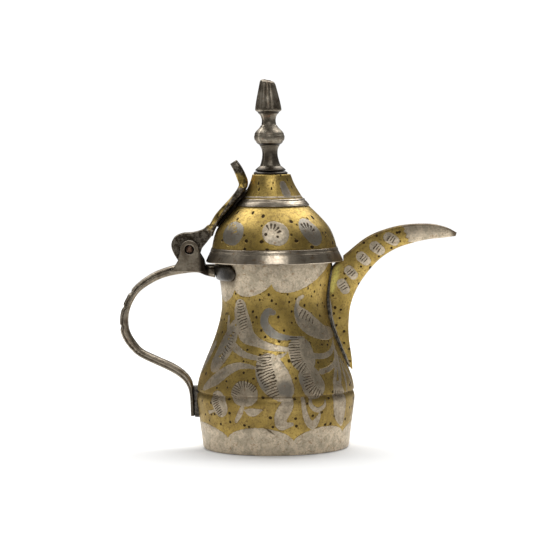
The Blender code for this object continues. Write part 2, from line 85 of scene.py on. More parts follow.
FLOOR_SIZE = (1.5, 1.15, 1.0)
FLOOR_SHIFT = 0.32
FLOOR_DROP = 0.0002  # the table lies this much under the foot
FLOOR_COLOUR = (0.93, 0.93, 0.925, 1.0)
FLOOR_GLOW = 0.10
WHITE = (1.0, 1.0, 1.0, 1.0)
BACKDROP_GLOW = 1.05  # the world as the camera sees it
ROOM_COLOUR = (1.0, 0.985, 0.96, 1.0)
ROOM_GLOW = 0.10  # the world as the pot sees it
ON_POT = (0.0, 0.0, 0.08)
LIGHTS = [("key", (0.03, -1.0, 0.95), ON_POT, (0.42, 0.5), 4.0),
          ("top", (0.0, 0.8, 1.4), (0.0, 0.45, 0.0), (2.4, 1.5), 46.0),
          ("left", (-1.2, -0.3, 0.5), ON_POT, (0.4, 0.9), 0.6)]  # name, place, aim, size, watts


def add_object(name, data):
    obj = bpy.data.objects.new(name, data)
    bpy.context.scene.collection.objects.link(obj)
    return obj


def make_camera():
    data = bpy.data.cameras.new("camera")
    camera = add_object("camera", data)
    aim = Vector(CAMERA_AIM) * MM
    spot = Vector((CAMERA_AIM[0], -CAMERA_AWAY, CAMERA_HEIGHT)) * MM
    run = aim - spot
    turn = run.to_track_quat("-Z", "Y").to_matrix() @ Matrix.Rotation(math.radians(CAMERA_ROLL), 3, "Z")
    camera.matrix_world = Matrix.Translation(spot) @ turn.to_4x4()
    data.sensor_width = SENSOR_WIDTH
    data.lens = SENSOR_WIDTH * run.length / (VIEW_WIDTH * MM)
    data.clip_start = NEAREST
    bpy.context.scene.camera = camera


def area_light(name, spot, aim, size, watts):
    data = bpy.data.lights.new(name, "AREA")
    data.shape = "RECTANGLE"
    data.size, data.size_y = size
    data.energy = watts
    lamp = add_object(name, data)
    lamp.location = spot
    lamp.rotation_euler = (Vector(aim) - Vector(spot)).to_track_quat("-Z", "Y").to_euler()


def make_floor():
    """White table that glows a little, so that it meets the backdrop without an edge."""
    mesh = bpy.data.meshes.new("floor")
    build = bmesh.new()
    bmesh.ops.create_grid(build, x_segments=8, y_segments=8, size=0.5)
    build.to_mesh(mesh)
    build.free()
    floor = add_object("floor", mesh)
    floor.scale = FLOOR_SIZE
    floor.location = (0.0, FLOOR_SHIFT, cad_box[0][2] - FLOOR_DROP)
    mat = bpy.data.materials.new("floor")
    mat.use_nodes = True
    shader = mat.node_tree.nodes["Principled BSDF"]
    looks = {"Base Color": FLOOR_COLOUR, "Roughness": 0.9, "Specular IOR Level": 0.1,
             "Emission Color": WHITE, "Emission Strength": FLOOR_GLOW}
    for socket, value in looks.items():
        shader.inputs[socket].default_value = value
    mesh.materials.append(mat)


def make_world():
    """White to the camera, and a dim warm room to the pot."""
    world = bpy.data.worlds.new("studio")
    bpy.context.scene.world = world
    world.use_nodes = True
    tree = world.node_tree
    tree.nodes.clear()
    out = tree.nodes.new("ShaderNodeOutputWorld")
    path = tree.nodes.new("ShaderNodeLightPath")
    mix = tree.nodes.new("ShaderNodeMixShader")
    tree.links.new(path.outputs["Is Camera Ray"], mix.inputs[0])
    for slot, colour, glow in ((1, ROOM_COLOUR, ROOM_GLOW), (2, WHITE, BACKDROP_GLOW)):
        shine = tree.nodes.new("ShaderNodeBackground")
        shine.inputs["Color"].default_value = colour
        shine.inputs["Strength"].default_value = glow
        tree.links.new(shine.outputs[0], mix.inputs[slot])
    tree.links.new(mix.outputs[0], out.inputs["Surface"])


def make_stage():
    make_floor()
    make_world()
    for light in LIGHTS:
        area_light(*light)
    bpy.context.scene.view_settings.view_transform = "Standard"


# ---------------------------------------------------------------- material graphs


class Graph:
    """Small helper that writes a material's nodes as nested calls."""

    def __init__(self, name):
        self.mat = bpy.data.materials.new(name)
        self.mat.use_nodes = True
        self.tree = self.mat.node_tree
        self.tree.nodes.clear()
        self.coords = self.add("ShaderNodeTexCoord").outputs["Object"]

    def add(self, kind, **settings):
        node = self.tree.nodes.new(kind)
        for key, value in settings.items():
            setattr(node, key, value)
        return node

    def put(self, socket, value):
        if isinstance(value, bpy.types.NodeSocket):
            self.tree.links.new(value, socket)
        elif isinstance(value, tuple) and socket.type == "RGBA":
            socket.default_value = (*value, 1.0)
        else:
            socket.default_value = value

    def fed(self, node, inputs, output):
        """Give a node its inputs and return one of its outputs."""
        for socket, value in inputs.items():
            self.put(node.inputs[socket], value)
        return node.outputs[output]

    def math(self, operation, first, second=0.0, clamp=False):
        node = self.add("ShaderNodeMath", operation=operation, use_clamp=clamp)
        return self.fed(node, {0: first, 1: second}, 0)

    def times(self, first, second):
        return self.math("MULTIPLY", first, second)

    def plus(self, first, second):
        return self.math("ADD", first, second)

    def minus(self, first, second):
        return self.math("SUBTRACT", first, second)

    def centred(self, value, swing):
        """A value from 0 to 1 made to swing round 0."""
        return self.times(self.minus(value, 0.5), swing)

    def ramp(self, value, low, high, out_low=0.0, out_high=1.0):
        """Smooth step of a value from low to high."""
        node = self.add("ShaderNodeMapRange", interpolation_type="SMOOTHSTEP")
        return self.fed(node, {"Value": value, "From Min": low, "From Max": high,
                               "To Min": out_low, "To Max": out_high}, "Result")

    def mix(self, factor, first, second):
        """Mix of two colours."""
        node = self.add("ShaderNodeMix", data_type="RGBA")
        return self.fed(node, {"Factor": factor, 6: first, 7: second}, 2)

    def blend(self, factor, first, second):
        """Mix of two numbers."""
        node = self.add("ShaderNodeMix", data_type="FLOAT")
        return self.fed(node, {0: factor, 2: first, 3: second}, 0)

    def noise(self, per_mm, detail=3.0, rough=0.55, stretch=(1.0, 1.0, 1.0), bend=0.0):
        """Noise with about per_mm features to a millimetre."""
        scale = tuple(k / MM for k in stretch)
        vector = self.fed(self.add("ShaderNodeMapping"), {"Vector": self.coords, "Scale": scale}, "Vector")
        return self.fed(self.add("ShaderNodeTexNoise"), {"Vector": vector, "Scale": per_mm, "Detail": detail,
                                                         "Roughness": rough, "Distortion": bend}, "Fac")

    def painted(self, name):
        return self.add("ShaderNodeAttribute", attribute_name=name).outputs["Fac"]

    def crevice(self, reach_mm):
        """0 on open surfaces, rising in corners as ambient occlusion does; it marks dirt and painted corner
        shade.
        """
        node = self.add("ShaderNodeAmbientOcclusion", samples=4)
        open_sky = self.fed(node, {"Distance": reach_mm * MM}, "AO")
        return self.math("SUBTRACT", 1.0, open_sky, clamp=True)

    def rubbed(self, colour, fine, low, amount, bare):
        """Bare metal on the edges that hands and cloths rub."""
        sharp = self.add("ShaderNodeNewGeometry").outputs["Pointiness"]
        edge = self.ramp(self.plus(sharp, self.centred(fine, 0.05)), low, 0.60)
        return self.mix(self.times(edge, amount), colour, bare)

    def dirt_and_corner_shade(self, colour, reach_mm, low, high, amount, dirt):
        """Dirt and painted shade in the corners."""
        return self.mix(self.times(self.ramp(self.crevice(reach_mm), low, high), amount), colour, dirt)

    def finish(self, colour, roughness, height_mm):
        shader = self.add("ShaderNodeBsdfPrincipled")
        out = self.add("ShaderNodeOutputMaterial")
        bump = self.add("ShaderNodeBump")
        normal = self.fed(bump, {"Strength": 1.0, "Distance": MM, "Height": height_mm}, "Normal")
        skin = self.fed(shader, {"Base Color": colour, "Roughness": roughness, "Metallic": 1.0,
                                 "Normal": normal}, 0)
        self.tree.links.new(skin, out.inputs["Surface"])
        return self.mat


BRASS_LIGHT = (0.58, 0.415, 0.125)
BRASS_DEEP = (0.41, 0.285, 0.075)
BRASS_STAIN = (0.22, 0.15, 0.06)
TIN_LIGHT = (0.68, 0.575, 0.43)
TIN_DULL = (0.47, 0.40, 0.295)
TIN_BLUE = (0.27, 0.255, 0.22)
TIN_DARK = (0.30, 0.265, 0.20)
TIN_BROWN = (0.30, 0.18, 0.09)
BRASS_RUST = (0.20, 0.105, 0.035)
BRASS_POLISHED = (1.0, 0.88, 0.25)
BAND_LIGHT = (0.56, 0.48, 0.37)
BAND_DULL = (0.34, 0.285, 0.22)
DIRT = (0.045, 0.028, 0.014)
RUST = (0.20, 0.075, 0.03)
OLD_POLISH_AND_SHADE = (0.085, 0.055, 0.028)
SOOT_AND_CORNER_SHADE = (0.015, 0.011, 0.008)
OIL_AND_SHADE = (0.022, 0.016, 0.011)
STRAP_BARE = (0.50, 0.42, 0.28)
STRAP_SPOT = (0.05, 0.035, 0.018)
SMOKE_AND_SHADE_LIGHT = (0.26, 0.225, 0.175)
SMOKE_AND_SHADE_DARK = (0.075, 0.06, 0.045)
SOLDER_DARK = (0.05, 0.045, 0.038)
SOLDER_LIGHT = (0.20, 0.18, 0.155)


def engraved_sheet():
    """Brass sheet with tinned ornament, chased lines, punch marks, and old polish in the hollows mixed with
    painted shade in shadowed places.
    """
    g = Graph("engraved_sheet")
    wobble = g.noise(1.3, 4.0, 0.6)
    tin_edge = g.plus(g.painted("tin"), g.centred(wobble, 0.75))
    tin = g.ramp(tin_edge, -0.09, 0.09)
    outline = g.ramp(g.math("ABSOLUTE", g.plus(tin_edge, 0.10)), 0.05, 0.26, 1.0, 0.0)
    outline = g.times(outline, g.ramp(g.noise(0.35, 2.0), 0.44, 0.64))

    cloud = g.noise(0.09, 5.0, 0.62)
    fine = g.noise(2.2, 4.0, 0.65)
    streak = g.noise(0.8, 3.0, 0.6, stretch=(0.9, 0.9, 0.10))
    blot = g.noise(0.45, 4.0, 0.66)
    brass = g.mix(g.ramp(cloud, 0.34, 0.64), BRASS_DEEP, BRASS_LIGHT)
    brass = g.mix(g.ramp(streak, 0.52, 0.76, 0.0, 0.30), brass, BRASS_STAIN)
    brass = g.mix(g.ramp(blot, 0.50, 0.66, 0.0, 0.5), brass, BRASS_STAIN)
    grain = g.noise(1.05, 4.0, 0.75)
    brass = g.mix(g.ramp(grain, 0.50, 0.68, 0.0, 0.75), brass, BRASS_STAIN)
    rust = g.times(g.ramp(grain, 0.56, 0.66), g.ramp(cloud, 0.44, 0.60, 0.15, 0.8))
    brass = g.mix(rust, brass, BRASS_RUST)
    brass = g.mix(g.times(g.painted("polish"), g.ramp(grain, 0.45, 0.65, 1.0, 0.6)), brass, BRASS_POLISHED)

    smear = g.noise(0.24, 5.0, 0.66)
    silver = g.mix(g.ramp(smear, 0.40, 0.62), TIN_LIGHT, TIN_DULL)
    silver = g.mix(g.ramp(grain, 0.46, 0.66, 0.0, 0.55), silver, TIN_DARK)
    silver = g.mix(g.times(g.painted("grey"), 0.9), silver, TIN_BLUE)
    speck = g.ramp(g.noise(0.55, 5.0, 0.76, bend=0.9), 0.565, 0.62)
    silver = g.mix(g.times(speck, 0.62), silver, TIN_BROWN)

    phase = g.math("FRACT", g.plus(g.painted("phase"), g.centred(g.noise(0.5, 1.0), 0.5)))
    line = g.ramp(g.math("ABSOLUTE", g.minus(phase, 0.5)), 0.11, 0.23, 1.0, 0.0)
    ragged = g.plus(g.painted("hatch"), g.centred(g.noise(0.8, 2.0), 2.4))
    line = g.times(line, g.ramp(ragged, -0.1, 0.15))

    unrolled = g.add("ShaderNodeUVMap", uv_map="unrolled").outputs["UV"]
    cells = g.add("ShaderNodeTexVoronoi", voronoi_dimensions="2D", feature="F1")
    from_centre = g.fed(cells, {"Vector": unrolled, "Scale": 1.0, "Randomness": 0.85}, "Distance")
    size = g.noise(0.25, 1.0)
    dot = g.minus(from_centre, g.times(g.minus(size, 0.42), 0.16))
    dot = g.ramp(dot, 0.075, 0.115, 1.0, 0.0)
    dot = g.times(dot, g.ramp(g.painted("tin"), -0.6, 0.2, 1.0, 0.10))

    colour = g.mix(tin, brass, silver)
    colour = g.mix(g.times(outline, 0.5), colour, DIRT)
    colour = g.mix(g.times(line, 0.84), colour, DIRT)
    colour = g.mix(g.times(dot, 0.96), colour, DIRT)
    # painted darkening: old polish in the hollows, and painted shade under the lid rim by the handle and
    # inside the beak
    grime_and_shade = g.times(g.painted("patina_and_shade"), g.ramp(g.noise(0.22, 4.0, 0.6), 0.25, 0.7, 0.60, 1.0))
    colour = g.mix(grime_and_shade, colour, OLD_POLISH_AND_SHADE)

    rough = g.blend(tin, 0.45, 0.47)
    rough = g.plus(rough, g.centred(grain, 0.40))
    rough = g.plus(rough, g.times(g.math("MAXIMUM", g.math("MAXIMUM", line, dot), grime_and_shade), 0.2))

    scratch = g.noise(3.2, 2.0, 0.5, stretch=(0.22, 0.22, 1.5))
    height = g.times(scratch, 0.012)
    for layer, deep in ((g.noise(0.55, 3.0), 0.06), (g.plus(fine, grain), 0.02), (line, -0.13),
                        (dot, -0.22), (outline, -0.06), (tin, 0.03)):
        height = g.plus(height, g.times(layer, deep))
    return g.finish(colour, rough, height)


def tinned_band():
    """Thick tinned band with turning marks, brown stains, and dirt and painted shade along its edges."""
    g = Graph("tinned_band")
    turned = g.noise(3.0, 3.0, 0.6, stretch=(0.05, 0.05, 1.3))
    smear = g.noise(0.16, 5.0, 0.64)
    colour = g.mix(g.ramp(smear, 0.36, 0.62), BAND_LIGHT, BAND_DULL)
    colour = g.mix(g.ramp(turned, 0.50, 0.74, 0.0, 0.45), colour, TIN_BLUE)
    stain = g.ramp(g.noise(0.32, 5.0, 0.7), 0.56, 0.68)
    colour = g.mix(g.times(stain, 0.55), colour, TIN_BROWN)
    # dirt and painted shade where the band turns into corners and edges
    colour = g.dirt_and_corner_shade(colour, 1.4, 0.20, 0.60, 0.9, DIRT)
    rough = g.plus(0.20, g.times(smear, 0.22))
    height = g.plus(g.times(turned, 0.025), g.times(g.noise(0.4, 3.0), 0.08))
    return g.finish(colour, rough, height)


def cast_metal(name, light, dark, bare, roughness, stain, open_to=0.10):
    """Cast or forged metal: dark skin, bare where hands and edges rub, dirt and painted shade in its corners,
    and a painted darkening that is dirt on some pieces and painted shade on others.
    """
    g = Graph(name)
    cloud = g.noise(0.20, 5.0, 0.65)
    fine = g.noise(1.8, 4.0, 0.65)
    colour = g.mix(g.ramp(cloud, 0.34, 0.66), dark, light)
    colour = g.rubbed(colour, fine, 0.505, 0.8, bare)
    brown = g.ramp(g.noise(0.42, 5.0, 0.7), 0.55, 0.74)
    colour = g.mix(g.times(brown, stain), colour, RUST)
    # the painted darkening: dirt on some pieces, painted shade on others, such as the handle's root
    darkening_share = g.ramp(g.plus(g.painted("patina_and_shade"), g.centred(cloud, 0.5)), 0.05, 0.95)
    colour = g.mix(g.times(darkening_share, g.ramp(g.painted("patina_and_shade"), 0.0, 0.1)), colour, OIL_AND_SHADE)
    # dirt and painted shade in the corners, found by ambient occlusion
    colour = g.dirt_and_corner_shade(colour, 2.2, open_to, open_to + 0.36, 0.94, SOOT_AND_CORNER_SHADE)
    rough = g.plus(roughness - 0.12, g.times(fine, 0.24))
    pits = g.ramp(g.noise(1.1, 3.0, 0.6), 0.60, 0.75)
    height = g.plus(g.times(g.noise(0.45, 4.0, 0.6), 0.14), g.times(fine, 0.03))
    height = g.minus(height, g.times(pits, 0.06))
    return g.finish(colour, rough, height)


def strap_metal():
    """Brass of the lid strap, blackened at the knuckle and the tab's end, with painted shade on the side that
    faces the lid and dirt and painted shade in its corners.
    """
    g = Graph("strap_metal")
    cloud = g.noise(0.30, 5.0, 0.68)
    fine = g.noise(1.6, 4.0, 0.65)
    brass = g.mix(g.ramp(cloud, 0.35, 0.62), BRASS_DEEP, BRASS_LIGHT)
    black = g.ramp(g.plus(g.painted("patina_and_shade"), g.centred(cloud, 1.6)), 0.20, 0.62)
    # the blackened colour: smoke on the knuckle and tab, painted shade on the side facing the lid
    smoke_and_shade = g.mix(g.ramp(g.noise(0.9, 4.0, 0.7), 0.42, 0.62), SMOKE_AND_SHADE_LIGHT, SMOKE_AND_SHADE_DARK)
    colour = g.mix(black, brass, smoke_and_shade)
    spots = g.ramp(g.noise(0.50, 5.0, 0.7), 0.49, 0.58)
    colour = g.mix(g.times(spots, 0.8), colour, STRAP_SPOT)
    colour = g.rubbed(colour, fine, 0.51, 0.55, STRAP_BARE)
    # dirt and painted shade in the corners, found by ambient occlusion
    colour = g.dirt_and_corner_shade(colour, 2.0, 0.18, 0.60, 0.9, SOOT_AND_CORNER_SHADE)
    rough = g.plus(0.30, g.times(fine, 0.25))
    height = g.plus(g.times(g.noise(0.5, 4.0, 0.6), 0.12), g.times(fine, 0.03))
    return g.finish(colour, rough, height)


def solder_skin():
    g = Graph("solder_skin")
    lump = g.noise(0.7, 4.0, 0.6)
    colour = g.mix(g.ramp(lump, 0.35, 0.7), SOLDER_DARK, SOLDER_LIGHT)
    return g.finish(colour, g.plus(0.40, g.times(lump, 0.25)), g.times(lump, 0.25))


MATERIALS = {
    "sheet": engraved_sheet(),
    "band": tinned_band(),
    "handle": cast_metal("handle_metal", light=(0.42, 0.36, 0.275), dark=(0.17, 0.135, 0.095),
                         bare=(0.76, 0.69, 0.58), roughness=0.40, stain=0.45),
    "finial": cast_metal("finial_metal", light=(0.38, 0.335, 0.265), dark=(0.125, 0.10, 0.072),
                         bare=(0.60, 0.53, 0.42), roughness=0.45, stain=0.7, open_to=0.32),
    "saddle": cast_metal("saddle_metal", light=(0.045, 0.038, 0.03), dark=(0.014, 0.012, 0.01),
                         bare=(0.25, 0.22, 0.18), roughness=0.34, stain=0.1),
    "iron": cast_metal("pin_metal", light=(0.13, 0.07, 0.045), dark=(0.05, 0.028, 0.02),
                       bare=(0.30, 0.20, 0.14), roughness=0.48, stain=0.6),
    "strap": strap_metal(),
    "solder": solder_skin(),
}


# ---------------------------------------------------------------- mesh helpers


def smooth_path(points, samples):
    """Catmull-Rom curve through rows of numbers, as an array."""
    rows = np.array(points, float)
    rows = np.vstack([2 * rows[0] - rows[1], rows, 2 * rows[-1] - rows[-2]])
    t = np.linspace(0.0, 1.0, samples, endpoint=False)[:, None]
    out = []
    for a, b, c, d in zip(rows, rows[1:], rows[2:], rows[3:]):
        out.append(0.5 * (2 * b + (c - a) * t + (2 * a - 5 * b + 4 * c - d) * t ** 2
                          + (3 * b - a - 3 * c + d) * t ** 3))
    return np.vstack(out + [rows[-2:-1]])


PROFILE_STEP = 0.25
PROFILE_PAD = 24  # steps by which a profile is carried on past its ends, so that smoothing keeps them
PROFILE_REACH = 0.3  # metres from the axis at which the rays start
BEAD_SIDES = 10
SOFTNESS = 0.5  # share of the smoothing in each round of filing


def node_tree_of(node):
    mesh = frame["nodes"][node].data
    faces = [tuple(face.vertices) for face in mesh.polygons]
    return BVHTree.FromPolygons([v.co for v in mesh.vertices], faces)


def hill(values, at, width):
    """Bell curve of height 1 round one value."""
    return np.exp(-((values - at) / width) ** 2)


def fade(values, start, run):
    """0 up to the start, rising to 1 over the run. A negative run rises the other way."""
    return np.clip((values - start) / run, 0.0, 1.0)


def cad_profile(node, heights, leaning=False, soften=1.4):
    """Outer radius and centre of a turned CAD node at some heights, in millimetres."""
    tree = node_tree_of(node)
    low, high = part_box(node)
    fine = np.arange(low.z / MM + 0.05, high.z / MM - 0.05, PROFILE_STEP)

    def wall(side):
        start, run = side * PROFILE_REACH, Vector((-side, 0, 0))
        return np.array([tree.ray_cast(Vector((start, 0.0, z * MM)), run)[0].x for z in fine]) / MM

    left = wall(-1)
    right = wall(1) if leaning else -left
    kernel = hill(np.arange(-PROFILE_PAD, PROFILE_PAD + 1) * PROFILE_STEP, 0.0, soften * math.sqrt(2.0))
    kernel /= kernel.sum()
    past = np.arange(1, PROFILE_PAD + 1)
    curves = []
    for values in (0.5 * (right - left), 0.5 * (right + left)):
        ends = [values[0] - (values[1] - values[0]) * past[::-1],
                values, values[-1] + (values[-1] - values[-2]) * past]
        curves.append(np.interp(heights, fine, np.convolve(np.concatenate(ends), kernel, "valid")))
    return curves


def mesh_from(name, verts_mm, faces, smooth=True):
    mesh = bpy.data.meshes.new(name)
    mesh.from_pydata((np.asarray(verts_mm, float) * MM).tolist(), [], faces)
    mesh.update()
    if smooth:
        mesh.shade_smooth()
    return add_object(name, mesh)


def ring_shell(name, loop, columns, swell=None):
    """Ring-shaped solid: a closed loop of (radius, z, centre) rows turned about the axis."""
    loop = np.array(loop, float)
    turn = np.radians(np.arange(columns) * 360.0 / columns - 180.0)
    radius, height, centre = loop[:, 0:1], loop[:, 1:2], loop[:, 2:3]
    if swell is not None:
        radius = radius + swell(turn[None, :], height)
    x = centre + radius * np.cos(turn)
    y = radius * np.sin(turn)
    z = height + 0.0 * turn
    verts = np.stack([x, y, z], axis=-1).reshape(-1, 3)
    rows = len(loop)
    i = np.arange(rows)[:, None] * columns
    j = np.arange(columns)[None, :]
    i2 = (np.roll(np.arange(rows), -1)[:, None]) * columns
    j2 = (j + 1) % columns
    faces = np.stack([i + j, i2 + j, i2 + j2, i + j2], axis=-1).reshape(-1, 4)
    return mesh_from(name, verts, faces.tolist())


def spindle(name, rows, columns, swell=None):
    """Solid turned piece: (radius, z, centre) rows from top to bottom, closed by a pole at each end."""
    rows = np.array(rows, float)
    turn = np.radians(np.arange(columns) * 360.0 / columns)
    radius = rows[:, 0:1] * np.ones_like(turn)
    if swell is not None:
        radius = radius + swell(turn[None, :], rows[:, 1:2])
    x = rows[:, 2:3] + radius * np.cos(turn)
    y = radius * np.sin(turn)
    z = rows[:, 1:2] + 0.0 * turn
    verts = np.stack([x, y, z], axis=-1).reshape(-1, 3).tolist()
    count = len(rows)
    faces = []
    for r in range(count - 1):
        for c in range(columns):
            d = (c + 1) % columns
            faces.append((r * columns + c, (r + 1) * columns + c, (r + 1) * columns + d, r * columns + d))
    top = len(verts)
    verts.append((rows[0][2], 0.0, rows[0][1]))
    verts.append((rows[-1][2], 0.0, rows[-1][1]))
    last = (count - 1) * columns
    for c in range(columns):
        d = (c + 1) % columns
        faces.append((top, c, d))
        faces.append((top + 1, last + d, last + c))
    return mesh_from(name, verts, faces)


def evaluated(obj):
    graph = bpy.context.evaluated_depsgraph_get()
    return bpy.data.meshes.new_from_object(obj.evaluated_get(graph))


def boolean(obj, others, operation):
    for other in others:
        step = obj.modifiers.new(operation, "BOOLEAN")
        step.operation = operation
        step.solver = "EXACT"
        step.object = other
    obj.data = evaluated(obj)
    obj.modifiers.clear()
    for other in others:
        bpy.data.objects.remove(other)
    return obj


def as_casting(obj, voxel, rounds):
    """Remesh a joined piece evenly and soften its edges, as casting and filing leave them."""
    step = obj.modifiers.new("even", "REMESH")
    step.mode = "VOXEL"
    step.voxel_size = voxel * MM
    step.use_smooth_shade = True
    soft = obj.modifiers.new("file", "SMOOTH")
    soft.factor = SOFTNESS
    soft.iterations = rounds
    obj.data = evaluated(obj)
    obj.modifiers.clear()
    obj.data.shade_smooth()
    return obj


def coordinates(obj):
    """Vertices of a piece in millimetres."""
    flat = np.zeros(len(obj.data.vertices) * 3, np.float32)
    obj.data.vertices.foreach_get("co", flat)
    return flat.reshape(-1, 3).astype(float) / MM


def set_coordinates(obj, points):
    obj.data.vertices.foreach_set("co", (points * MM).astype(np.float32).ravel())
    obj.data.update()


def paint(obj, name, values):
    layer = obj.data.attributes.new(name, "FLOAT", "POINT")
    layer.data.foreach_set("value", np.asarray(values, np.float32))


def finish_piece(obj, material, body, nodes=()):
    obj.data.materials.clear()
    obj.data.materials.append(MATERIALS[material])
    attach(obj, body)
    if nodes:
        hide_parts(*nodes)
    return obj


def face_outwards(obj):
    build = bmesh.new()
    build.from_mesh(obj.data)
    bmesh.ops.recalc_face_normals(build, faces=build.faces)
    build.to_mesh(obj.data)
    build.free()
    return obj


def plate(name, outline, half):
    """Outline in the X-Z plane, extruded to both sides of Y = 0."""
    count = len(outline)
    verts = [(x, -half, z) for x, z in outline] + [(x, half, z) for x, z in outline]
    faces = [tuple(range(count)), tuple(range(2 * count - 1, count - 1, -1))]
    faces += [(i, i + count, (i + 1) % count + count, (i + 1) % count) for i in range(count)]
    return face_outwards(mesh_from(name, verts, faces, smooth=False))


def arc(radius, x, z, angles):
    """Points of a circle in the X-Z plane."""
    return [(x + radius * math.cos(a), z + radius * math.sin(a)) for a in angles]


def rod_y(name, radius, low_y, high_y, sides=48):
    """Rod on the axis of the hinge pin."""
    ring = arc(radius, PIN.x, PIN.z, [2 * math.pi * k / sides for k in range(sides)])
    obj = plate(name, ring, 0.5 * (high_y - low_y))
    points = coordinates(obj)
    points[:, 1] += 0.5 * (high_y + low_y)
    set_coordinates(obj, points)
    return obj


def loft(name, rings):
    """Closed skin through rings of equally many points in millimetres."""
    rings = np.array(rings, float)
    count, around = rings.shape[:2]
    i = np.arange(count - 1)[:, None] * around
    j = np.arange(around)[None, :]
    k = (j + 1) % around
    faces = np.stack([i + j, i + k, i + around + k, i + around + j], axis=-1).reshape(-1, 4).tolist()
    faces.append(tuple(range(around))[::-1])
    faces.append(tuple((count - 1) * around + a for a in range(around)))
    return face_outwards(mesh_from(name, rings.reshape(-1, 3), faces))


def lumps(seed, count):
    """Smoothed noise, one value to each row of a lumpy piece."""
    noise = np.random.default_rng(seed).normal(0.0, 1.0, count + 8)
    return np.convolve(noise, np.ones(9) / 9.0, "valid")[:count]


def bead(name, points, radii, seed):
    """Run of solder: a lumpy tube along points in millimetres."""
    uneven = lumps(seed, len(points))
    last = len(points) - 1
    rings = []
    for i, here in enumerate(points):
        run = Vector(points[min(i + 1, last)] - points[max(i - 1, 0)]).normalized()
        across = Vector((0.0, 0.0, 1.0)) if abs(run.z) < 0.9 else Vector((1.0, 0.0, 0.0))
        side = run.cross(across).normalized()
        up = run.cross(side)
        size = float(radii[i] * (1.0 + 0.35 * uneven[i]))
        rings.append([tuple(Vector(here) + size * (math.cos(a) * side + math.sin(a) * up))
                      for a in np.linspace(0.0, 2 * math.pi, BEAD_SIDES, endpoint=False)])
    return loft(name, rings)


# ---------------------------------------------------------------- ornament


UNTINNED = -6.0  # distance that stands for far outside the tin
UNHATCHED = -3.0


class Ornament:
    """Distances in millimetres to hand-drawn motifs on a turned surface, positive inside them.

    A path is a row of (degrees, z, half width) points.
    """

    def __init__(self, points, centre=0.0):
        x = points[:, 0] - centre
        self.radius = np.hypot(x, points[:, 1])
        self.reference = float(np.median(self.radius))
        self.angle = np.arctan2(x, -points[:, 1])
        self.height = points[:, 2]
        count = len(points)
        self.tin = np.full(count, UNTINNED)
        self.grey = np.zeros(count)
        self.hatch = np.full(count, UNHATCHED)
        self.phase = np.zeros(count)
        self.patina_and_shade = np.zeros(count)

    def _near(self, path):
        """Distance inside a path, and the length along it."""
        rows = smooth_path(path, 4) if len(path) > 2 else np.array(path, float)
        if len(rows) == 1:
            rows = np.vstack([rows, rows + [0.01, 0.0, 0.0]])
        best = np.full(len(self.height), -99.0)
        along = np.zeros(len(self.height))
        run = 0.0
        around = self.reference * np.radians(np.diff(rows[:, 0]))
        lengths = np.hypot(around, np.diff(rows[:, 1])) + 1e-6
        total = lengths.sum()
        for (a0, z0, w0), (a1, z1, w1), length in zip(rows, rows[1:], lengths):
            dx = self.radius * ((self.angle - math.radians(a0) + math.pi) % (2 * math.pi) - math.pi)
            dz = self.height - z0
            ex = self.radius * math.radians(a1 - a0)
            ez = z1 - z0
            past = (dx * ex + dz * ez) / (ex * ex + ez * ez + 1e-9)
            t = np.clip(past, 0.0, 1.0)
            inside = w0 + (w1 - w0) * t - np.hypot(dx - t * ex, dz - t * ez)
            if 0.0 < run:
                past = np.maximum(past, 0.0)
            if run + length < total - 0.001:
                past = np.minimum(past, 1.0)
            better = inside > best
            best = np.where(better, inside, best)
            along = np.where(better, run + past * length, along)
            run += length
        return best, along

    def stroke(self, *path, grey=0.0):
        """Tinned shape, bluish grey by some share."""
        inside, _ = self._near(path)
        self.tin = np.maximum(self.tin, inside)
        self.grey = np.maximum(self.grey, grey * fade(inside, -0.5, 1.0))

    def smoke(self, *path, amount=1.0, soft=2.0):
        """Bluish grey tone inside what is already tinned."""
        inside, _ = self._near(path)
        self.grey = np.maximum(self.grey, amount * fade(inside, 0.0, soft))

    def shade(self, *path, amount=0.6, soft=1.5):
        """Old polish and smoke, and painted shade where the pot lies in shadow."""
        inside, _ = self._near(path)
        self.patina_and_shade = np.maximum(self.patina_and_shade, amount * fade(inside, 0.0, soft))

    def hatching(self, *path, spacing=1.05):
        """Engraved lines across the path."""
        inside, along = self._near(path)
        better = inside > self.hatch
        self.hatch = np.where(better, inside, self.hatch)
        self.phase = np.where(better, along / spacing, self.phase)

    def dash(self, *path):
        """One engraved wedge, drawn as a line of the hatching."""
        inside, _ = self._near(path)
        better = 4.0 * inside > self.hatch
        self.hatch = np.where(better, np.clip(4.0 * inside, UNHATCHED, 3.0), self.hatch)
        self.phase = np.where(better, 0.5, self.phase)

    def carve(self, *path):
        """Wedge cut through the tin to the brass."""
        inside, _ = self._near(path)
        self.tin = np.minimum(self.tin, -3.0 * inside)

    def lobed_band(self, cusps, above, bulge):
        """Band with a scalloped edge through cusps of (degrees, z, depth of the next lobe, its skew)."""
        degrees = np.degrees(self.angle)
        edge = np.full(len(degrees), 999.0)
        first_again = (cusps[0][0] + 360.0,) + cusps[0][1:]
        for (a0, z0, depth, skew), (a1, z1, _, _) in zip(cusps, cusps[1:] + [first_again]):
            t = ((degrees - a0) % 360.0) / (a1 - a0)
            bend = np.sin(math.pi * np.clip(t, 0.0, 1.0) ** skew) ** bulge
            edge = np.where(t <= 1.0, z0 + (z1 - z0) * t + depth * bend, edge)
        gap = (self.height - edge) if above else (edge - self.height)
        self.tin = np.maximum(self.tin, np.clip(gap * 0.8, UNTINNED, -UNTINNED))

    def apply(self, obj):
        for name in ("tin", "grey", "hatch", "phase", "patina_and_shade"):
            paint(obj, name, getattr(self, name))


DOT_SPACING = 5.4
LID_DOT_SPACING = 7.2


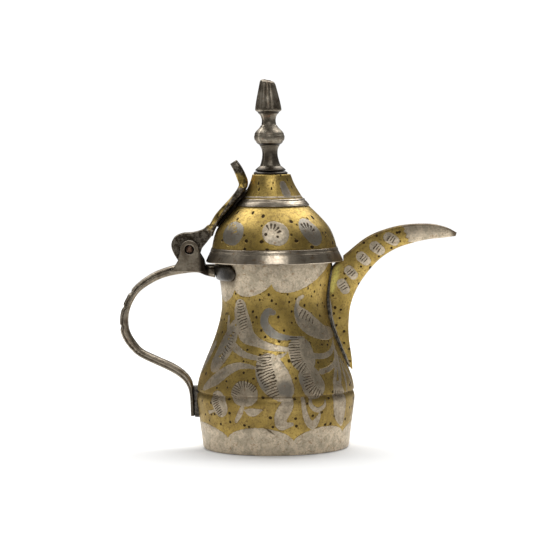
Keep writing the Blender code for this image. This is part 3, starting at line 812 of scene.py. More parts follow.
def corner_vertices(obj):
    """Vertex of each face corner."""
    corner = np.zeros(len(obj.data.loops), np.int32)
    obj.data.loops.foreach_get("vertex_index", corner)
    return corner


def add_cells(obj, across, up, spacing):
    """UV map in cells of one punch mark."""
    layer = obj.data.uv_layers.new(name="unrolled")
    flat = np.stack([across, up], axis=-1) / spacing
    layer.data.foreach_set("uv", flat.astype(np.float32).ravel())


def unroll(obj, centre, reference, spacing):
    """Punch marks by the angle round the axis and the height."""
    points = coordinates(obj)
    corner = corner_vertices(obj)
    angle = np.arctan2(points[:, 0] - centre, -points[:, 1])[corner]
    starts = np.zeros(len(obj.data.polygons), np.int32)
    totals = np.zeros(len(obj.data.polygons), np.int32)
    obj.data.polygons.foreach_get("loop_start", starts)
    obj.data.polygons.foreach_get("loop_total", totals)
    first = np.repeat(angle[starts], totals)
    angle = first + (angle - first + math.pi) % (2 * math.pi) - math.pi
    add_cells(obj, angle * reference, points[corner, 2], spacing)


def engrave(obj, draw, heights, radius, wall=0.6, dull=0.55, crown=math.inf,
            centre=0.0, reference=30.0, spacing=DOT_SPACING):
    """Ornament on a sheet piece. Its inner wall below the crown is plain dull tin."""
    field = Ornament(coordinates(obj), centre)
    draw(field)
    inside = field.radius < np.interp(field.height, heights[::-1], radius[::-1]) - wall
    inside &= field.height < crown
    field.tin = np.where(inside, -UNTINNED, field.tin)
    field.hatch = np.where(inside, UNHATCHED, field.hatch)
    field.grey = np.where(inside, dull, field.grey)
    field.apply(obj)
    unroll(obj, centre, reference, spacing)


def hand_raised(turn, height):
    """Unevenness that the hammer left in sheet metal."""
    return (0.10 * np.sin(2 * turn + 0.4) + 0.05 * np.sin(5 * turn + height / 9.0)
            + 0.035 * np.sin(9 * turn - height / 5.0) + 0.02 * np.sin(17 * turn + height / 2.3))


def pot_ornament(field):
    """Front panel, then free repeats of its leaves and flowers for the sides and the back."""
    field.lobed_band([(-92.0, 74.0, -7.0, 1.0), (-47.0, 72.8, -4.6, 0.85), (-3.0, 75.6, -7.4, 0.72),
                      (74.0, 86.0, 0.0, 1.0), (106.0, 86.0, -7.0, 1.3), (150.0, 75.0, -4.8, 1.0),
                      (206.0, 74.0, -5.0, 1.0)], above=True, bulge=0.62)
    field.lobed_band([(-99.0, 7.4, 5.4, 1.0), (-39.0, 7.0, 5.9, 1.0), (13.0, 6.2, 5.0, 1.0),
                      (61.0, 8.0, 4.6, 1.0), (111.0, 7.0, 5.6, 1.0), (161.0, 6.5, 5.6, 1.0),
                      (211.0, 7.2, 5.4, 1.0)], above=False, bulge=0.55)
    front_panel(field)
    back_panel(field)
    field.patina_and_shade = 0.38 * fade(field.height, 41.0, -10.0) * fade(field.height, 9.0, 5.0)
    field.patina_and_shade += 0.13 * fade(field.height, 76.0, 3.0)
    field.shade((-25.0, 27.6, 5.2), (-20.0, 27.0, 5.0), amount=0.55, soft=4.0)
    field.shade((-9.0, 12.9, 0.3), (-5.0, 11.2, 0.55), (-1.0, 9.5, 0.25), amount=1.0, soft=0.25)
    field.shade((-30.0, 27.0, 0.2), (-16.0, 26.6, 1.2), (10.0, 26.3, 1.5), (30.0, 26.2, 1.3),
                (46.0, 26.2, 0.3), amount=0.62, soft=1.3)
    field.shade((-16.0, 25.4, 1.0), (-12.0, 25.0, 3.4), amount=0.35, soft=3.0)
    # painted shade with some dirt: the neck between the lid rim and the saddle, beside the handle
    field.shade((-92.0, 78.0, 6.0), (-56.0, 77.0, 5.0), (-44.0, 76.0, 2.4), amount=0.75, soft=4.0)
    field.shade((-104.0, 82.0, 4.2), (-58.0, 82.0, 4.2), (-49.0, 80.5, 2.0), amount=0.97, soft=1.2)


def front_panel(field):
    """The plant that grows round the front of the pot."""
    # long leaf at the upper left with its stem
    field.stroke((-40, 65.2, 3.0), (-39, 61.6, 3.8), (-33, 56.0, 3.9), (-28, 52.2, 3.4), (-16, 49.4, 1.9),
                 (-3, 47.4, 1.5), (12, 46.4, 0.9))
    field.hatching((-40, 65.4, 1.8), (-38, 61.0, 2.5), (-33, 56.0, 2.1), spacing=1.25)
    # grey curl
    field.stroke((-2, 62.4, 1.2), (-7, 62.9, 1.6), (-11, 60.8, 1.7), (-11, 57.8, 1.8), (-5, 54.2, 1.9),
                 (4, 52.0, 1.5), (16, 51.3, 0.9), (30, 51.5, 0.2), grey=1.0)
    field.shade((-7, 62.9, 1.8), (-11, 60.8, 2.0), (-11, 57.8, 2.1), (-5, 54.2, 2.1), amount=0.3, soft=0.8)
    # bird-like leaf at the upper right
    field.stroke((31, 69.2, 0.8), (26, 68.0, 0.9), (24.0, 64.8, 1.2), (28, 61.4, 3.1), (34, 58.2, 4.6),
                 (43, 55.2, 4.5), (56, 52.8, 3.4), (72, 52.2, 2.3))
    field.hatching((30, 61.6, 2.0), (36, 59.8, 1.7), (42, 58.0, 1.2), spacing=1.9)
    field.smoke((22, 66.0, 1.2), (22.5, 62.0, 1.4), (25, 59.0, 0.8), amount=0.9, soft=0.8)
    # two paisleys with arms to the right
    field.stroke((23, 45.6, 5.9), (24, 42.4, 6.0))
    field.hatching((17.5, 50.0, 2.3), (17.5, 45.0, 2.6), (18.5, 40.6, 2.6), (24, 37.0, 2.2), spacing=1.12)
    field.stroke((33, 43.2, 1.3), (46, 42.8, 1.2), (58, 44.4, 1.0), (70, 48.6, 0.6))
    field.stroke((27, 33.6, 5.6), (29, 30.6, 5.8))
    field.hatching((24, 37.4, 2.0), (24.5, 33.4, 2.3), (27, 29.4, 2.3), (33, 26.8, 1.8), spacing=1.12)
    field.smoke((18, 33.0, 4.4), (19, 30.0, 3.4), amount=0.75, soft=2.6)
    field.stroke((38, 36.2, 1.2), (50, 37.6, 1.0), (62, 41.6, 0.6), (68, 46.0, 0.3))
    # large leaf in the middle with its stem and spike
    field.stroke((-6, 39.6, 5.4), (-4.0, 36.8, 6.7), (0, 33.0, 6.9), (4.5, 29.6, 5.4))
    field.hatching((-9.5, 42.4, 3.0), (-9, 38.2, 3.7), (-5.5, 33.6, 3.3), (-2, 28.2, 2.6), spacing=1.2)
    field.stroke((-40, 47.2, 1.7), (-28, 44.2, 1.3), (-15, 42.8, 1.0), (-8, 42.4, 1.0))
    field.stroke((-2, 42.6, 1.0), (4, 43.6, 0.9), (10, 45.0, 0.2))
    field.smoke((7, 29.6, 4.4), (9, 28.0, 3.0), amount=0.95, soft=1.6)
    field.smoke((-14, 34.0, 3.0), (-9, 30.6, 2.8), amount=0.8, soft=1.8)
    # leaf at the left edge
    field.stroke((-46, 56.6, 2.4), (-48, 51.8, 4.2), (-52, 46.0, 5.2), (-57, 40.2, 4.6))
    field.hatching((-45, 52.6, 1.2), (-47, 47.6, 1.6), (-52, 42.6, 1.4), spacing=1.3)
    field.smoke((-49, 53.0, 3.6), (-53, 47.0, 5.0), (-58, 41.0, 4.6), amount=0.6, soft=2.4)
    field.shade((-46, 55.0, 2.0), (-52, 46.0, 4.0), (-57, 41.0, 4.0), amount=0.34, soft=2.0)
    for n in range(9):
        field.carve((-44 - 1.5 * n, 56.6 - 1.9 * n + 1.6 * math.sin(5.0 * n), 0.5))
    field.stroke((-57, 60.0, 0.7), (-55, 55.4, 1.0), (-53, 51.8, 0.7))
    # wavy leaf below it
    field.stroke((-64, 28.6, 1.4), (-57, 31.0, 2.3), (-50, 33.4, 2.9), (-41, 36.9, 2.5), (-32, 39.1, 1.6),
                 (-23, 39.3, 1.0), (-16, 38.6, 0.5))
    field.smoke((-52, 33.6, 1.4), (-42, 37.0, 1.2), amount=0.6, soft=1.2)
    # open flower low on the left
    field.stroke((-46.5, 23.8, 4.3), (-44, 20.8, 4.3))
    field.hatching((-50, 25.8, 1.4), (-48.5, 22.6, 1.9), (-45, 18.8, 1.9), spacing=0.95)
    field.stroke((-57, 18.0, 0.9), (-52, 18.8, 0.6), (-48, 19.8, 0.6))
    # round flower with two sepals
    field.stroke((-25.0, 27.6, 5.4), (-21.5, 27.2, 5.2))
    field.hatching((-31, 27.0, 1.7), (-28, 31.0, 1.8), (-21, 32.0, 1.7), (-16, 29.6, 1.2), spacing=1.0)
    field.stroke((-24, 22.4, 0.8), (-27, 18.6, 1.2), (-30.5, 15.2, 0.8))
    field.stroke((-22, 20.0, 0.7), (-17, 19.4, 1.9), (-9.5, 20.6, 0.2))
    # small plants along the foot
    field.stroke((10, 24.6, 1.6), (7, 21.6, 3.0), (3.5, 17.4, 2.9), (4, 13.6, 2.1), (11.5, 14.0, 0.9))
    field.stroke((19.5, 25.2, 0.9), (20.5, 20.4, 1.1), (23.5, 15.4, 1.5), (28, 13.2, 1.8), (32, 16.0, 1.2),
                 (33.5, 18.2, 0.5))
    field.stroke((26, 26.2, 0.7), (25.5, 22.4, 0.9), (31, 19.8, 1.1), (37, 21.4, 0.8), (38, 24.0, 0.3))
    field.stroke((52, 28.5, 3.2), (53.5, 23.0, 4.7), (55, 17.5, 4.2), (58, 12.5, 1.4))
    field.hatching((49.5, 26.4, 1.3), (57, 25.4, 1.3), spacing=0.9)
    # grass along the beak
    field.stroke((67, 46.6, 0.4), (57, 38.0, 0.9), (48.5, 31.0, 0.9))
    field.stroke((68, 44.0, 0.3), (60, 36.0, 1.2), (54, 28.6, 0.7))
    field.stroke((69, 41.6, 0.3), (65, 33.0, 0.9), (64, 25.4, 0.3))
    field.stroke((70, 40.4, 0.3), (74, 33.0, 0.9), (78, 27.6, 0.3))


def spray(field, at, z, size, side):
    """Leaf with hatched middle and a stem, used for the sides and the back."""
    def bent(*path):
        return [(at + side * degrees, z + size * up, half) for degrees, up, half in path]

    field.stroke(*bent((-14, 9, 1.8), (-9, 4, 3.3 * size), (0, -2, 3.4 * size), (12, -7, 1.6), (24, -9, 0.5)))
    field.hatching(*bent((-11, 6.5, 1.8 * size), (-6, 1.5, 2.3 * size), (1, -3.0, 1.9 * size)))
    field.smoke(*bent((-12, 7, 1.4), (-9, 2, 1.6)), amount=0.6, soft=1.6)


def flower(field, at, z, size):
    """Round hatched flower on a forked stem."""
    field.stroke((at, z, 5.0 * size))
    field.hatching((at - 8 * size, z + 1.0, 1.5 * size), (at - 4, z + 3.6 * size, 1.8 * size),
                   (at + 3, z + 4.0 * size, 1.6 * size))
    field.stroke((at, z - 5 * size, 0.8), (at - 4, z - 9 * size, 1.1), (at - 8, z - 12 * size, 0.6))
    field.stroke((at + 2, z - 6 * size, 0.7), (at + 7, z - 7.5 * size, 1.7 * size),
                 (at + 13, z - 6 * size, 0.2))


def curl(field, at, z, side):
    field.stroke((at + 9 * side, z + 6, 1.1), (at + 2 * side, z + 6.5, 1.6), (at - 2 * side, z + 2, 1.8),
                 (at + 4 * side, z - 3, 1.7), (at + 15 * side, z - 5, 1.0), (at + 27 * side, z - 4.5, 0.2),
                 grey=0.75)


BACK_SPRAYS = [(-108, 60, 0.95, 1), (-143, 58, 0.9, -1), (176, 60, 1.0, 1), (133, 58, 0.9, -1),
               (-88, 38, 1.0, -1), (-126, 42, 1.05, 1), (-168, 40, 1.1, -1), (150, 41, 1.05, 1),
               (112, 40, 0.9, -1)]  # degrees, z, size, side to which it bends
BACK_FLOWERS = [(-103, 24, 0.9), (-140, 26, 1.0), (-177, 24, 0.95), (147, 26, 1.0), (113, 24, 0.9),
                (83, 20, 0.55)]  # degrees, z, size
BACK_CURLS = [(-122, 53, 1), (-160, 52, -1), (158, 52, 1), (118, 52, -1)]  # degrees, z, side


def back_panel(field):
    for draw, places in ((spray, BACK_SPRAYS), (flower, BACK_FLOWERS), (curl, BACK_CURLS)):
        for place in places:
            draw(field, *place)


# ---------------------------------------------------------------- body of the pot

POT_COLUMNS = 440
SHEET = 0.9
SEAM_DIP = 0.16  # depth of the soft crease in which the belly seam lies
LIP_FLARE = 0.35
FOOT_TUCK = 0.25
POUR_HALF, POUR_LOW, POUR_TOP = 2.7, 45.7, 75.3
POUR_X = (20.0, 38.0)
BASE_HEIGHT = 1.0


def wall_loop(heights, radius, sheet, inner_rows, low_lip=4, top_lip=4):
    """Closed loop of rows: outer wall downwards, then a thin inner wall upwards, with rounded ends."""
    heights = np.asarray(heights, float)
    half = 0.5 * sheet

    def lip(end, side, steps):
        return [(radius[end] - half + side * half * math.cos(a),
                 heights[end] - side * 0.30 * sheet * math.sin(a), 0.0)
                for a in (math.pi * k / steps for k in range(1, steps))]

    pick = np.linspace(len(heights) - 1, 0, inner_rows).round().astype(int)
    rows = [(r, z, 0.0) for r, z in zip(radius, heights)] + lip(-1, 1, low_lip)
    return rows + [(radius[i] - sheet, heights[i], 0.0) for i in pick] + lip(0, -1, top_lip)


def make_body():
    low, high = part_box("body_upper")
    top, seam = high.z / MM - 0.3, low.z / MM
    heights = np.linspace(top, seam + 0.02, 122)
    radius, _ = cad_profile("body_upper", np.maximum(heights, seam + 0.3))
    radius = radius - SEAM_DIP * hill(heights, seam - 0.5, 1.8) + LIP_FLARE * hill(heights, top, 0.8)
    upper = ring_shell("pot_body", wall_loop(heights, radius, SHEET, 40, low_lip=2), POT_COLUMNS, hand_raised)
    outline = arc(POUR_HALF, 0.0, POUR_TOP, np.linspace(0, math.pi, 13))
    outline += arc(POUR_HALF, 0.0, POUR_LOW, np.linspace(math.pi, 2 * math.pi, 13))
    hole = plate("hole", outline, 0.5 * (POUR_X[1] - POUR_X[0]))
    points = coordinates(hole)
    middle = 0.5 * (POUR_X[0] + POUR_X[1])
    set_coordinates(hole, np.stack([middle + points[:, 1], points[:, 0], points[:, 2]], axis=-1))
    boolean(upper, [hole], "DIFFERENCE")
    upper.data.shade_smooth()
    upper.data.set_sharp_from_angle(angle=math.radians(50))
    engrave(upper, pot_ornament, heights, radius)
    finish_piece(upper, "sheet", "pot", ["body_upper"])

    heights = np.linspace(seam - 0.02, 0.3, 51)
    radius, _ = cad_profile("body_lower", np.minimum(heights, seam - 0.6))
    radius = radius - SEAM_DIP * hill(heights, seam - 0.5, 1.8) - FOOT_TUCK * hill(heights, 0.0, 0.5)
    lower = ring_shell("pot_foot", wall_loop(heights, radius, SHEET, 16, top_lip=2), POT_COLUMNS, hand_raised)
    lower.data.set_sharp_from_angle(angle=math.radians(50))
    points = coordinates(lower)
    points[:, 2] = np.maximum(points[:, 2], 0.0)
    set_coordinates(lower, points)
    engrave(lower, pot_ornament, heights, radius)
    finish_piece(lower, "sheet", "pot", ["body_lower"])

    spread = np.linspace(radius[-1] - SHEET - 0.25, 0.4, 36)
    ripple = [BASE_HEIGHT + 0.15 * math.cos(r / 2.1) * math.exp(-r / 22.0) for r in spread]
    dish = [(r, z, 0.0) for r, z in zip(spread, ripple)][::-1]
    disc = spindle("pot_base", dish + [(r, 0.02, 0.0) for r in spread], 120)
    finish_piece(disc, "band", "pot", ["base_disc"])


# ---------------------------------------------------------------- beak

BEAK_STATIONS = [(34.8, 34.2, 33.2, 36.0, 1.0), (34.5, 39.6, 30.0, 40.4, 2.7), (33.4, 48.0, 26.4, 49.2, 3.6),
                 (33.2, 55.0, 24.0, 57.2, 4.1), (34.1, 63.2, 22.6, 66.2, 4.3), (36.9, 70.9, 23.0, 74.8, 4.5),
                 (41.1, 77.4, 26.4, 81.0, 4.6), (47.2, 84.1, 33.4, 87.3, 4.4), (54.6, 88.8, 43.5, 94.7, 4.1),
                 (62.7, 91.5, 56.6, 98.9, 3.5), (69.5, 92.9, 69.2, 99.6, 2.7), (75.6, 93.5, 77.0, 98.1, 1.8),
                 (81.5, 94.2, 81.95, 95.6, 0.8)]
BEAK_MEDALLIONS = [(30.9, 72.2, -60.0, 2.3), (34.4, 78.4, -48.0, 2.2), (40.0, 84.6, -42.0, 2.3),
                   (46.2, 89.2, -38.0, 2.4), (52.6, 93.3, -32.0, 2.4)]  # x, z, slope in degrees, half width
BEAK_STRIP = [(25.2, 70.0, 0.2), (25.2, 60.0, 0.6), (27.3, 51.0, 0.7), (30.4, 43.0, 0.7), (33.1, 37.0, 0.5)]
BEAK_RUBBED = [(28.6, 82.0, 0.7), (26.9, 76.0, 1.7), (25.6, 70.0, 0.9)]
BEAK_TINNED = 63.4  # the whole beak is tinned from this x on
CELL_SHIFT = (700.0, 3.0)
BEAK_SHEET = 0.8
SOLDER_SEED = 5
RIM_SWING = 31.4  # radius that the swinging lid needs beside the beak
RIM_LOW = 83.4


def turned_cutter(name, rows):
    """Solid turned about the axis of the pot, from (radius, z) rows."""
    return spindle(name, [(r, z, 0.0) for r, z in rows], 160)


def neck_cutter(name, radius, top, low):
    return turned_cutter(name, [(0.01, top), (radius, top), (radius, low), (0.01, low)])


def make_beak():
    sections = smooth_path(BEAK_STATIONS, 9)
    turn = np.radians(np.linspace(-90.0, 90.0, 45))
    across = np.sign(np.sin(turn)) * np.abs(np.sin(turn)) ** 0.85
    down = np.abs(np.cos(turn)) ** 0.85
    down[0] = down[-1] = 0.0
    rings = []
    for kx, kz, ex, ez, half in sections:
        depth = math.hypot(kx - ex, kz - ez)
        run = np.array([(kx - ex) / depth, (kz - ez) / depth])
        wall_half = max(half - BEAK_SHEET, 0.25 * half)
        wall_depth = max(depth - BEAK_SHEET, 0.45 * depth)
        outer = np.stack([ex + run[0] * depth * down, half * across, ez + run[1] * depth * down], axis=-1)
        inner = np.stack([ex + run[0] * wall_depth * down, wall_half * across,
                          ez + run[1] * wall_depth * down], axis=-1)[::-1]
        edge = 0.5 * (half + wall_half)
        lip_b = np.array([[ex - run[0] * 0.25, edge, ez - run[1] * 0.25]])
        lip_a = lip_b * [1, -1, 1]
        rings.append(np.vstack([outer, lip_b, inner, lip_a]))
    beak = loft("beak", rings)
    heights = np.linspace(89.0, 27.0, 90)
    radius, _ = cad_profile("body_upper", heights)
    body = turned_cutter("wall", [(0.01, 89.0)] + list(zip(radius + 0.1, heights)) + [(0.01, 27.0)])
    boolean(beak, [body, neck_cutter("rim", RIM_SWING, 125.0, RIM_LOW)], "DIFFERENCE")
    beak.data.shade_smooth()
    beak.data.set_sharp_from_angle(angle=math.radians(48))
    decorate_beak(beak, sections)
    finish_piece(beak, "sheet", "pot", ["spout"])
    solder_seams(sections)


def flat_distance(points, path):
    """Distance inside a path of (x, z, half width) rows on the cheeks, and the length along it."""
    rows = smooth_path(path, 4) if len(path) > 2 else np.array(path, float)
    best = np.full(len(points), -99.0)
    along = np.zeros(len(points))
    run = 0.0
    for (x0, z0, w0), (x1, z1, w1) in zip(rows, rows[1:]):
        ex, ez = x1 - x0, z1 - z0
        length = math.hypot(ex, ez) + 1e-6
        dx, dz = points[:, 0] - x0, points[:, 2] - z0
        t = np.clip((dx * ex + dz * ez) / length ** 2, 0.0, 1.0)
        inside = w0 + (w1 - w0) * t - np.hypot(dx - t * ex, dz - t * ez)
        better = inside > best
        best = np.where(better, inside, best)
        along = np.where(better, run + t * length, along)
        run += length
    return best, along


def cheek_oval(points, spot, tilt, half_run, wide, narrow):
    """Distance inside an oval on the cheek, and the length along it."""
    dx = half_run * math.cos(math.radians(tilt))
    dz = half_run * math.sin(math.radians(tilt))
    return flat_distance(points, [(spot[0] - dx, spot[1] - dz, wide), (spot[0] + dx, spot[1] + dz, narrow)])


def decorate_beak(beak, sections):
    """Five tinned medallions up the cheek, a tinned tip and the grey solder strip by the seam, with dirt at
    the tip and painted shade inside the channel and along its top edge.
    """
    points = coordinates(beak)
    x, y, z = points.T
    tin = np.full(len(points), UNTINNED)
    hatch = np.full(len(points), UNHATCHED)
    phase = np.zeros(len(points))
    for *spot, tilt, size in BEAK_MEDALLIONS:
        oval, _ = cheek_oval(points, spot, tilt, 1.6, size, size - 0.2)
        tin = np.maximum(tin, oval)
        lines, along = cheek_oval(points, spot, tilt, 1.9, 1.4, 1.3)
        phase = np.where(lines > hatch, along / 1.2, phase)
        hatch = np.maximum(hatch, lines)
    keel = np.interp(x, sections[:, 0], sections[:, 1])
    keel_strip = 1.7 * fade(x, BEAK_TINNED, -6.0)
    edge = 57.0 + 0.9 * np.abs(np.sin(z * 1.3)) + 0.35 * (99.5 - z)
    tip = np.minimum(0.7 * (x - edge), np.where(x < BEAK_TINNED, z - keel - keel_strip, 6.0))
    strip, _ = flat_distance(points, BEAK_STRIP)
    tin = np.maximum(np.maximum(tin, np.clip(tip, UNTINNED, 6.0)), strip)
    patina_and_shade = np.clip((x - 79.0) / 2.0, 0.0, 0.9)
    patina_and_shade = np.maximum(patina_and_shade, 0.5 * hill(tip, 0.0, 0.35) * (z > keel + 2.6))
    # painted shade: the inside of the open channel near its mouth
    inner = np.zeros(len(points), bool)
    for _, _, ex, ez, half in sections[::3]:
        inner |= ((x - ex) ** 2 + (z - ez) ** 2 < 4.0) & (np.abs(y) < half - 0.5)
    patina_and_shade = np.maximum(patina_and_shade, 0.7 * inner)
    # painted shade: a dark line along the top edge, where the far cheek's inside lies in shadow
    brim, _ = flat_distance(points, [(ex, ez, 0.6) for _, _, ex, ez, _ in BEAK_STATIONS[5:]])
    patina_and_shade = np.maximum(patina_and_shade, 0.95 * np.clip(2.0 * brim + 0.2, 0.0, 1.0))
    cheek = np.interp(x, sections[:, 0], sections[:, 4])
    on_keel = (np.abs(y) < 0.55 * cheek) & (z < keel + 0.5 * cheek)
    rubbed, _ = flat_distance(points, BEAK_RUBBED)
    for name, values in (("polish", np.clip(0.8 * rubbed + 0.2, 0.0, 0.9)), ("tin", tin),
                         ("grey", np.clip(strip + 0.6, 0.0, 1.0)),
                         ("hatch", np.where(on_keel, UNHATCHED, hatch)), ("phase", phase),
                         ("patina_and_shade", patina_and_shade)):
        paint(beak, name, values)
    corner = corner_vertices(beak)
    add_cells(beak, x[corner] + CELL_SHIFT[0], z[corner] + CELL_SHIFT[1], DOT_SPACING)


def solder_seams(sections):
    """Dark solder where the two cheeks meet the wall of the pot; it is thick so that it also stands for the
    shade in the groove there, as painted shade.
    """
    heights = np.linspace(82.6, 35.6, 80)
    radius, _ = cad_profile("body_upper", heights)
    half = np.interp(heights, 0.5 * (sections[:, 1] + sections[:, 3])[:60], sections[:60, 4]) * 0.94
    for side, name in ((-1.0, "front"), (1.0, "rear")):
        x = np.sqrt(np.maximum((radius + 0.15) ** 2 - half ** 2, 1.0))
        path = np.stack([x + 0.15, side * (half + 0.15), heights], axis=-1)
        size = 0.74 * np.clip(np.minimum(heights - 34.5, 84.0 - heights) / 6.0, 0.3, 1.0)
        # widest near z 66, where the groove beside the cheek lies darkest: partly painted shade
        size = size + 0.34 * hill(heights, 66.0, 7.0)
        finish_piece(bead("beak_solder_" + name, path, size, SOLDER_SEED), "solder", "pot")


# ---------------------------------------------------------------- lid

LID_COLUMNS = 360
DOME_CROWN = 122.9
STEM_HOLE = 2.6


def raised(share):
    """Hammer marks, weaker by a share."""
    return lambda turn, height: share * hand_raised(turn, height)


def make_lid():
    low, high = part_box("lid_dome")
    top, bottom = high.z / MM - 0.25, low.z / MM + 0.02
    heights = np.append(np.arange(top, bottom + 0.1, -0.38), bottom)
    radius, centre = cad_profile("lid_dome", heights, leaning=True, soften=1.0)
    outer = list(zip(radius, heights, centre))
    pick = np.linspace(len(heights) - 1, 0, 40).round().astype(int)
    thick = SHEET * np.sqrt(1 + np.gradient(radius, heights) ** 2)
    inner = [(max(radius[i] - thick[i], STEM_HOLE), heights[i], centre[i]) for i in pick]
    crown = [(r, top + 0.12, centre[0]) for r in (radius[0] - 0.9, radius[0] - 0.25)]
    dome = ring_shell("lid_shell", outer + inner + crown, LID_COLUMNS, raised(0.6))
    engrave(dome, lid_ornament, heights, radius, wall=0.65, dull=0.6, crown=top - 0.5,
            centre=float(np.mean(centre)), reference=24.0, spacing=LID_DOT_SPACING)
    finish_piece(dome, "sheet", "lid", ["lid_dome"])
    make_rim()
    make_ring()
    make_collar()


MEDALLIONS = [(2.4, 97.4, 5.2, 2.2), (41.0, 97.6, 4.9, 2.2), (92.0, 96.4, 5.0, 3.0), (144.0, 96.9, 5.0, 3.0),
              (196.0, 96.2, 5.2, 3.0), (-106.0, 96.6, 5.0, 3.0),
              (-45.0, 97.2, 5.1, 3.2)]  # degrees, z, radius, half run
FRONT, FRONT_RIGHT, FRONT_LEFT = 0, 1, 6
FAN = (118.0, 92.0, 66.0, 42.0, 20.0)  # directions of the cuts
DEGREES_PER_MM = 2.16  # round the bell at the height of the medallions
SIDE_MARKS = [(-6.8, 3.4, 0.5), (7.2, -0.6, 0.6), (8.6, -2.4, 0.4)]
INNER_MARKS = [(-4.4, -0.3, 0.7), (0.9, -1.3, 0.6)]


def medallion(field, which, at, z, tall, wide):
    """Tinned disc with a fan of cuts and a few marks round it."""
    drop = 1.3 if which == FRONT_RIGHT else 0.3
    cut = field.carve if which == FRONT_LEFT else field.dash
    field.stroke((at - wide, z + drop, tall - 0.2), (at + wide, z - drop, tall - 0.2))
    for turn in np.radians(FAN):
        cut(*[(at + DEGREES_PER_MM * (reach * math.cos(turn) - 2.0), z - 0.6 + reach * math.sin(turn), half)
              for reach, half in ((2.3, 0.12), (4.5, 0.52))])
    for dx, dz, half in SIDE_MARKS + (INNER_MARKS if which == FRONT else []):
        field.dash((at + DEGREES_PER_MM * dx, z + dz, half))
    field.smoke((at - 3.0, z - 3.0, 2.6), (at + 5.0, z - 3.6, 2.0), amount=0.5, soft=2.0)
    if which in (FRONT_LEFT, FRONT_RIGHT):
        field.smoke((at - 4.0, z, 7.0), (at + 4.0, z, 7.0), amount=0.82, soft=1.5)
        field.shade((at - 3.0, z - 1.0, 5.0), (at + 3.0, z - 2.0, 4.0), amount=0.35, soft=3.0)


def lid_ornament(field):
    """Medallions round the bell, a tinned patch on the cone and dark lines along the bands."""
    for which, place in enumerate(MEDALLIONS):
        medallion(field, which, *place)
    field.stroke((28.0, 118.4, 1.6), (31.0, 114.8, 2.2), grey=0.8)
    field.shade((28.0, 118.4, 2.4), (31.0, 114.8, 3.2), amount=0.4, soft=2.0)
    field.shade((-180.0, 124.0, 0.8), (0.0, 124.0, 0.8), (180.0, 124.0, 0.8), amount=0.6, soft=0.8)

    def line(at, half):
        return fade(np.abs(field.height - at), half, -half)

    field.tin = np.maximum(field.tin, 2.0 * line(112.9, 0.5) - 0.6)
    for at, half in ((108.4, 0.45), (112.2, 0.3), (90.0, 0.6)):
        field.patina_and_shade = np.maximum(field.patina_and_shade, 0.9 * line(at, half))


def make_rim():
    """Sloping rim band with a rolled lower edge and a fine step under its top."""
    low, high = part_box("lid_rim_band")
    top, bottom = high.z / MM, low.z / MM
    heights = np.arange(top + 0.2, bottom + 0.25, -0.25)
    radius, _ = cad_profile("lid_rim_band", np.minimum(heights, top - 0.1), soften=0.8)
    radius = radius + 0.12 * hill(heights, top - 0.7, 0.35) - 0.16 * hill(heights, top - 1.35, 0.22)
    radius = radius + 0.05 * hill(heights, bottom + 0.6, 0.4)
    outer = list(zip(radius, heights))
    out = radius[-1]
    lip = [(out - 0.2, bottom + 0.06), (out - 0.55, bottom + 0.04), (out - 0.9, bottom + 0.25)]
    inner = [(r - 1.0, z) for r, z in outer[::-1][2:-2:3]]
    crown = [(radius[0] - 1.0, top + 0.1), (radius[0] - 0.3, top + 0.3)]
    rows = [(r, z, 0.0) for r, z in outer + lip + inner + crown]
    band = ring_shell("rim_band", rows, LID_COLUMNS, raised(0.45))
    finish_piece(band, "band", "lid", ["lid_rim_band"])


def make_ring():
    """Shoulder band: two flats with a dark groove between them."""
    low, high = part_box("lid_ring_band")
    top, bottom = high.z / MM, low.z / MM
    heights = np.arange(top - 0.05, bottom + 0.05, -0.12)
    radius, centre = cad_profile("lid_dome", heights, leaning=True, soften=1.0)
    step = 0.56 - 0.34 * hill(heights, top - 0.95, 0.16) + 0.10 * hill(heights, bottom + 1.1, 0.7)
    step = step - 0.45 * hill(heights, top, 0.14) - 0.45 * hill(heights, bottom, 0.14)
    outer = list(zip(radius + step, heights, centre))
    inner = list(zip(radius - 0.25, heights, centre))[::-1][::4]
    band = ring_shell("shoulder_band", outer + inner, 300, raised(0.3))
    finish_piece(band, "band", "lid", ["lid_ring_band"])


def make_collar():
    """Locating ring inside the lid, with softened edges."""
    low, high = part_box("lid_collar")
    out = high.x / MM
    top, bottom = high.z / MM, low.z / MM
    spigot = 23.8
    rows = [(out - 0.5, top), (out - 0.12, top - 0.2), (out - 0.05, top - 0.8), (out - 0.4, top - 1.0),
            (spigot + 0.3, top - 1.05), (spigot, top - 1.3), (spigot, bottom + 0.3),
            (spigot - 0.25, bottom + 0.02), (spigot - 0.75, bottom + 0.02), (spigot - 1.0, bottom + 0.3),
            (spigot - 1.0, top - 0.2), (spigot - 0.8, top)]
    collar = ring_shell("lid_locating_ring", [(r, z, 0.0) for r, z in rows], 200)
    finish_piece(collar, "band", "lid", ["lid_collar"])


# ---------------------------------------------------------------- finial

FLUTES = 10
CONE_LOW, CONE_HIGH = 151.6, 165.0
FINIAL_FOOT = 123.95
BREAK_DEPTH = 3.0  # the tip is broken off at a slant
FINIAL_LINES = [(150.7, 0.45, 0.35), (145.0, 0.28, 0.2), (140.4, 0.26, 0.2), (137.5, 0.28, 0.22),
                (136.0, 0.30, 0.30), (126.6, 0.30, 0.22)]  # z, depth and width of each turned groove
FINIAL_GRIME = [(136.2, 0.85, 0.8), (150.5, 0.85, 0.7), (147.5, 0.35, 2.5)]  # z, amount and width


